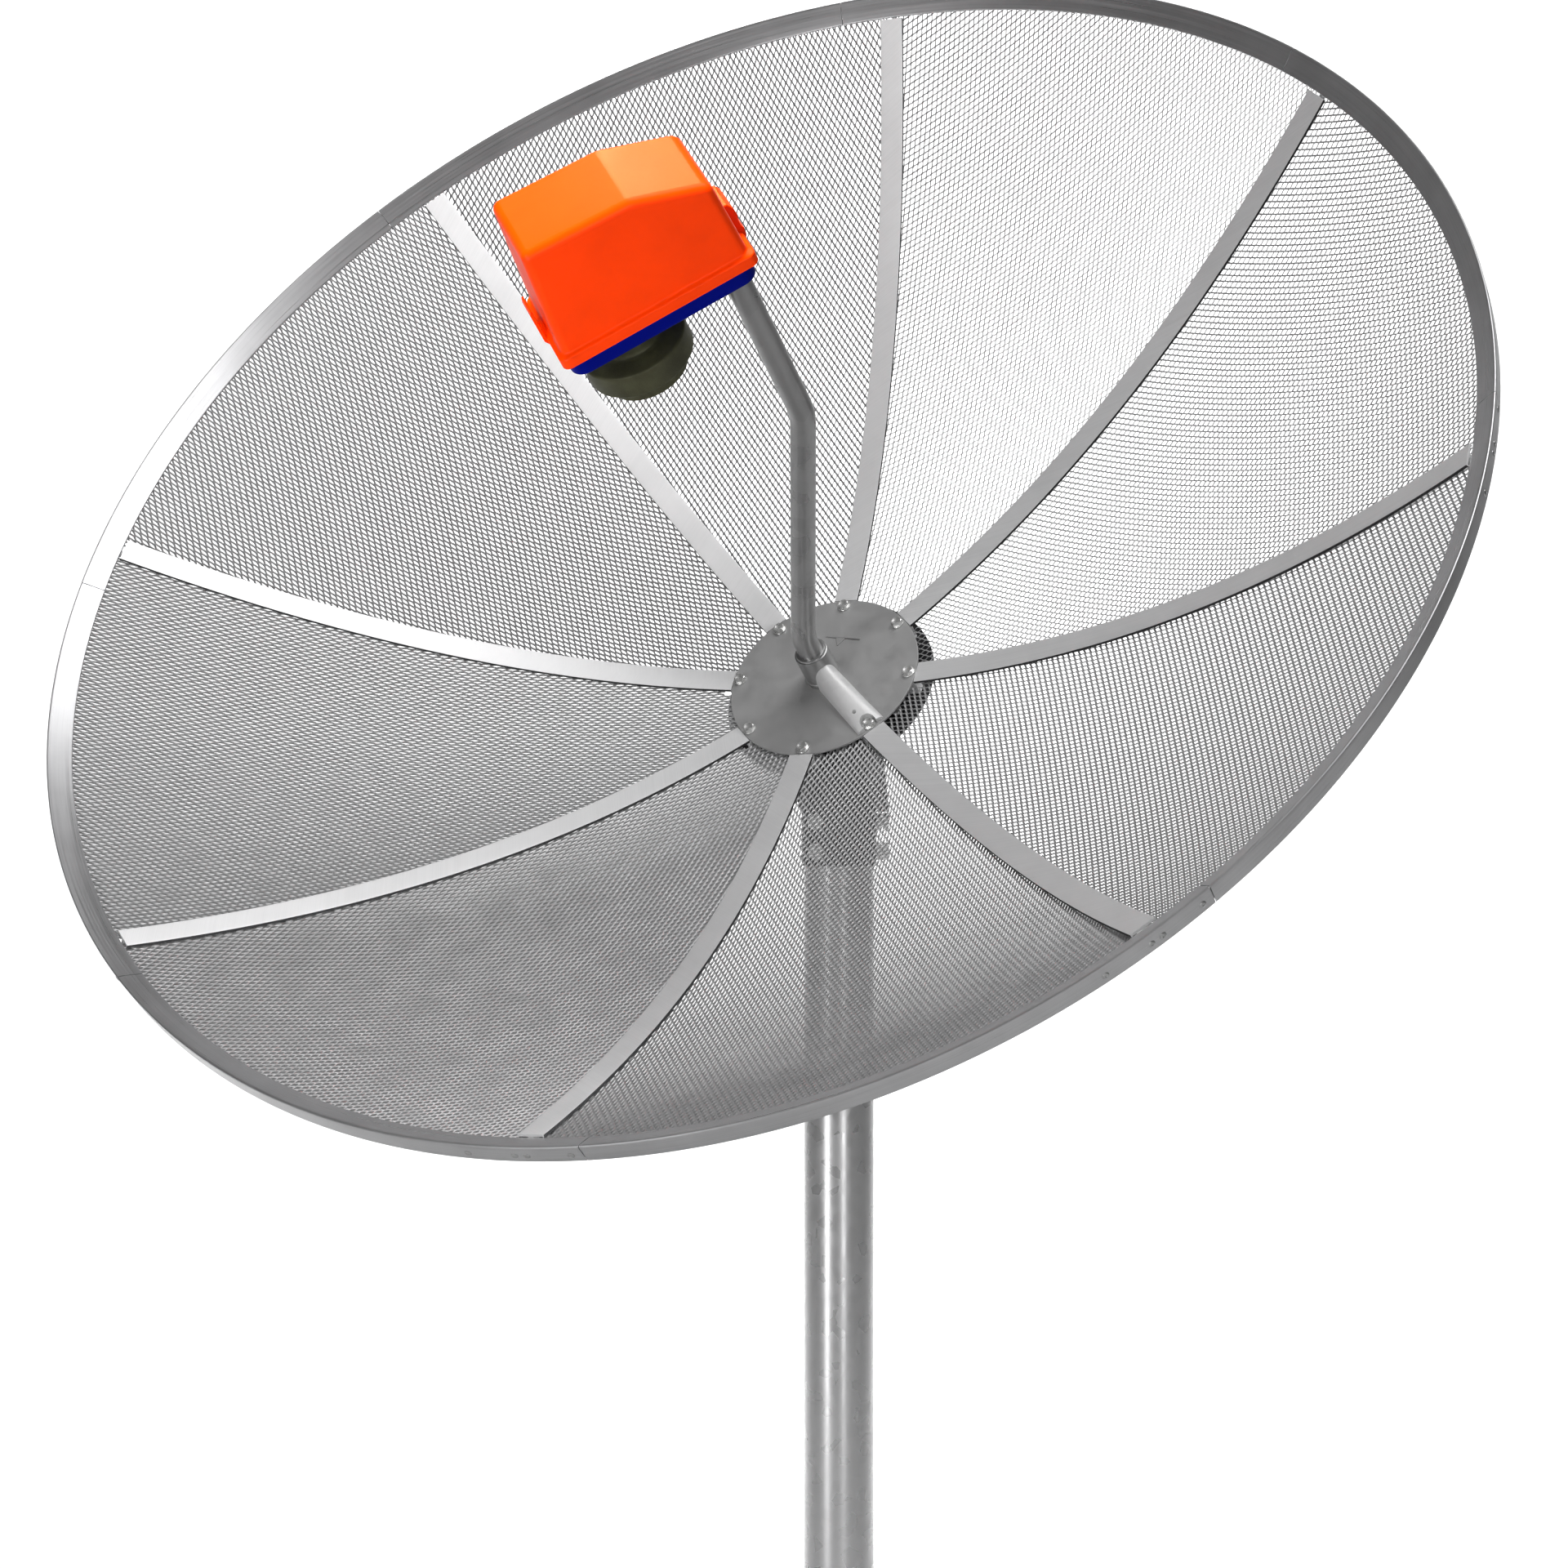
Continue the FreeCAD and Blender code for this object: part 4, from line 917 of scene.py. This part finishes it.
def clip_loop():
    """The left clip: a bent tab standing off the end wall, open above."""
    face = [(-CL + 0.0020, 0.0040), (-CL - 0.0050, 0.0040), (-CL - 0.0078, 0.0090),
            (-CL - 0.0080, 0.0400), (-CL - 0.0066, 0.0455), (-CL - 0.0046, 0.0462),
            (-CL - 0.0046, 0.0130), (-CL - 0.0030, 0.0095), (-CL + 0.0020, 0.0095)]
    face = rounded(face, 0.0010, 3)
    return slab(face, -0.0140, 0.0140, 0.0006, 2)


clips = []
for name, shape in (("left", clip_loop()), ("right", clip_housing())):
    bag = Bag().add(*shape, upright())
    clips.append(give(bag.make("clip_" + name, M_COVER, COVER), "feed_cover", "orange_plastic",
                      "cover_clip_" + name))

# ---------------------------------------------------------------- mast and head
prof = [(MAST_BORE, 0.010), (MAST_RADIUS, 0.010), (MAST_RADIUS, 1.1942), (0.0360, 1.1948),
        (0.0318, 1.1948), (MAST_BORE, 1.1942)]
give(finish_mesh("mast_tube", *lathe(prof, 128), M_MAST), "mast", "galvanised", "mast_pole")

# galvanised head parts, and any slot not listed here, take the near-black painted-shade zinc
PAINTS = {"galvanised": M_HEAD_SHADED_ZINC, "bolt_zinc": M_BOLT, "rim_aluminium": M_RIM,
          "white_plastic": M_WINDOW, "dark_plastic": M_DARK, "grey_paint": M_PLATE}
slot_of = {part["node"]: part["material_slot"] for part in frame["record"]["subparts"]}
for node, obj in frame["nodes"].items():
    if obj.hide_render:
        continue
    for held in obj.material_slots:
        held.material = PAINTS.get(slot_of[node], M_HEAD_SHADED_ZINC)
    edge = obj.modifiers.new("edge", "BEVEL")
    edge.width, edge.segments, edge.limit_method = 0.0006, 2, "ANGLE"
    edge.angle_limit = math.radians(40)

# ---------------------------------------------------------------- floor, light and camera
M_FLOOR = speckled("floor_white", (0.93, 0.93, 0.93), 0.6, 0.0, 3, 0.01, 0.02).mat
BACKDROP_HALF = 9.0
rows = [(-6.0, 0.0), (3.0, 0.0), (4.2, 0.12), (5.1, 0.55), (5.6, 1.3), (5.7, 2.4), (5.7, 7.0)]
verts = [(x, y, z) for y, z in rows for x in (-BACKDROP_HALF, BACKDROP_HALF)]
faces = [(2 * i, 2 * i + 1, 2 * i + 3, 2 * i + 2) for i in range(len(rows) - 1)]
turn = Matrix.Rotation(VIEW_TURN, 4, "Z")
backdrop = finish_mesh("backdrop", verts, faces, M_FLOOR, turn, 60)

def studio_world(base, zones, seen):
    """A soft surround: a plain level plus broad brighter zones, each given as (direction,
    added strength, cosines where it starts and is full). The camera sees it plain."""
    world = bpy.data.worlds.new("studio")
    world.use_nodes = True
    tree = world.node_tree
    back = tree.nodes["Background"]
    coord = tree.nodes.new("ShaderNodeTexCoord").outputs["Generated"]
    total = base
    for toward, added, low, high in zones:
        dot = tree.nodes.new("ShaderNodeVectorMath")
        dot.operation = "DOT_PRODUCT"
        dot.inputs[1].default_value = Vector(toward).normalized()
        tree.links.new(coord, dot.inputs[0])
        ramp = tree.nodes.new("ShaderNodeMapRange")
        ramp.interpolation_type = "SMOOTHSTEP"
        for socket, value in (("From Min", low), ("From Max", high), ("To Min", 0.0),
                              ("To Max", added)):
            ramp.inputs[socket].default_value = value
        tree.links.new(dot.outputs["Value"], ramp.inputs["Value"])
        join = tree.nodes.new("ShaderNodeMath")
        if isinstance(total, float):
            join.inputs[0].default_value = total
        else:
            tree.links.new(total, join.inputs[0])
        tree.links.new(ramp.outputs["Result"], join.inputs[1])
        total = join.outputs[0]
    path = tree.nodes.new("ShaderNodeLightPath")
    pick = tree.nodes.new("ShaderNodeMix")
    pick.inputs["B"].default_value = seen
    tree.links.new(path.outputs["Is Camera Ray"], pick.inputs["Factor"])
    tree.links.new(total, pick.inputs["A"])
    tree.links.new(pick.outputs["Result"], back.inputs["Strength"])
    bpy.context.scene.world = world


studio_world(0.62, [((0.3, -0.2, 0.93), 1.0, 0.56, 0.78), ((-0.78, 0.49, 0.39), 0.35, 0.6, 0.9)],
             1.0)


def lit_group(name, pieces):
    """A collection for lights that fall only on these pieces."""
    group = bpy.data.collections.new(name)
    for piece in pieces:
        group.objects.link(piece)
    return group


def softbox(name, place_at, aim, size, power, size_y=None, spread=180, only=None, glossy=True,
            tone=(1, 1, 1)):
    light = bpy.data.lights.new(name, "AREA")
    light.energy, light.size, light.color = power, size, tone
    light.spread = math.radians(spread)
    if size_y:
        light.shape, light.size_y = "RECTANGLE", size_y
    obj = bpy.data.objects.new(name, light)
    bpy.context.scene.collection.objects.link(obj)
    obj.location = place_at
    obj.rotation_euler = (Vector(aim) - Vector(place_at)).to_track_quat("-Z", "Y").to_euler()
    obj.visible_camera = False
    obj.visible_glossy = glossy
    if only:
        obj.light_linking.receiver_collection = only
    return obj


def polar_place(azimuth, elevation, distance, centre=(0, 0, 1.2)):
    """A place seen from the dish at an azimuth (0 is -Y, + is towards +X) and elevation."""
    a, e = math.radians(azimuth), math.radians(elevation)
    return Vector(centre) + distance * Vector((math.sin(a) * math.cos(e),
                                               -math.cos(a) * math.cos(e), math.sin(e)))


DISH_SPOT, MAST_SPOT = (0, 0, 1.3), (0, 0, 0.8)
softbox("key", polar_place(50, 68, 4.2), DISH_SPOT, 2.6, 85)
softbox("strip_left", polar_place(-14, -6, 4.6), MAST_SPOT, 0.40, 40, 2.2)
softbox("strip_right", polar_place(40, -6, 4.6), MAST_SPOT, 0.35, 20, 2.2)

# these fall only on the pieces in their group, and stay put when the dish moves
HOUSING = lit_group("feed_housing", [cover, tray] + clips)
RIBS = lit_group("ribs", ribs)
YELLOW, WARM = (1.0, 1.0, 0.1), (1.0, 0.85, 0.45)
softbox("feed_fill", (0.03, -2.13, 0.37), (-0.25, -0.55, 1.72), 0.8, 2.6, spread=40,
        only=HOUSING, glossy=False)
softbox("feed_roof", (-0.10, -1.75, 3.55), (-0.27, -0.62, 1.80), 0.8, 160, only=HOUSING,
        glossy=False, tone=YELLOW)
softbox("feed_glow", (-0.73, -0.05, 4.16), (-0.25, -0.60, 1.77), 0.9, 44, only=HOUSING,
        tone=WARM)
softbox("rib_light", (6.0, -1.5, 2.0), DISH_SPOT, 1.6, 520, only=RIBS, glossy=False)
VIEW_WAY = Vector((-0.4346, 0.9006, 0))
softbox("backdrop_light", VIEW_WAY * 1.8 + Vector((0, 0, 3.4)),
        VIEW_WAY * 5.6 + Vector((0, 0, 1.2)), 3.0, 260, 1.0)

camera = bpy.data.objects.new("camera", bpy.data.cameras.new("camera"))
bpy.context.scene.collection.objects.link(camera)
camera.location = (1.4495, -3.1369, 1.2037)
camera.rotation_euler = (math.radians(90), 0, VIEW_TURN)
camera.data.sensor_width, camera.data.lens = 36, 75.375
bpy.context.scene.camera = camera
bpy.context.scene.view_settings.view_transform = "Standard"
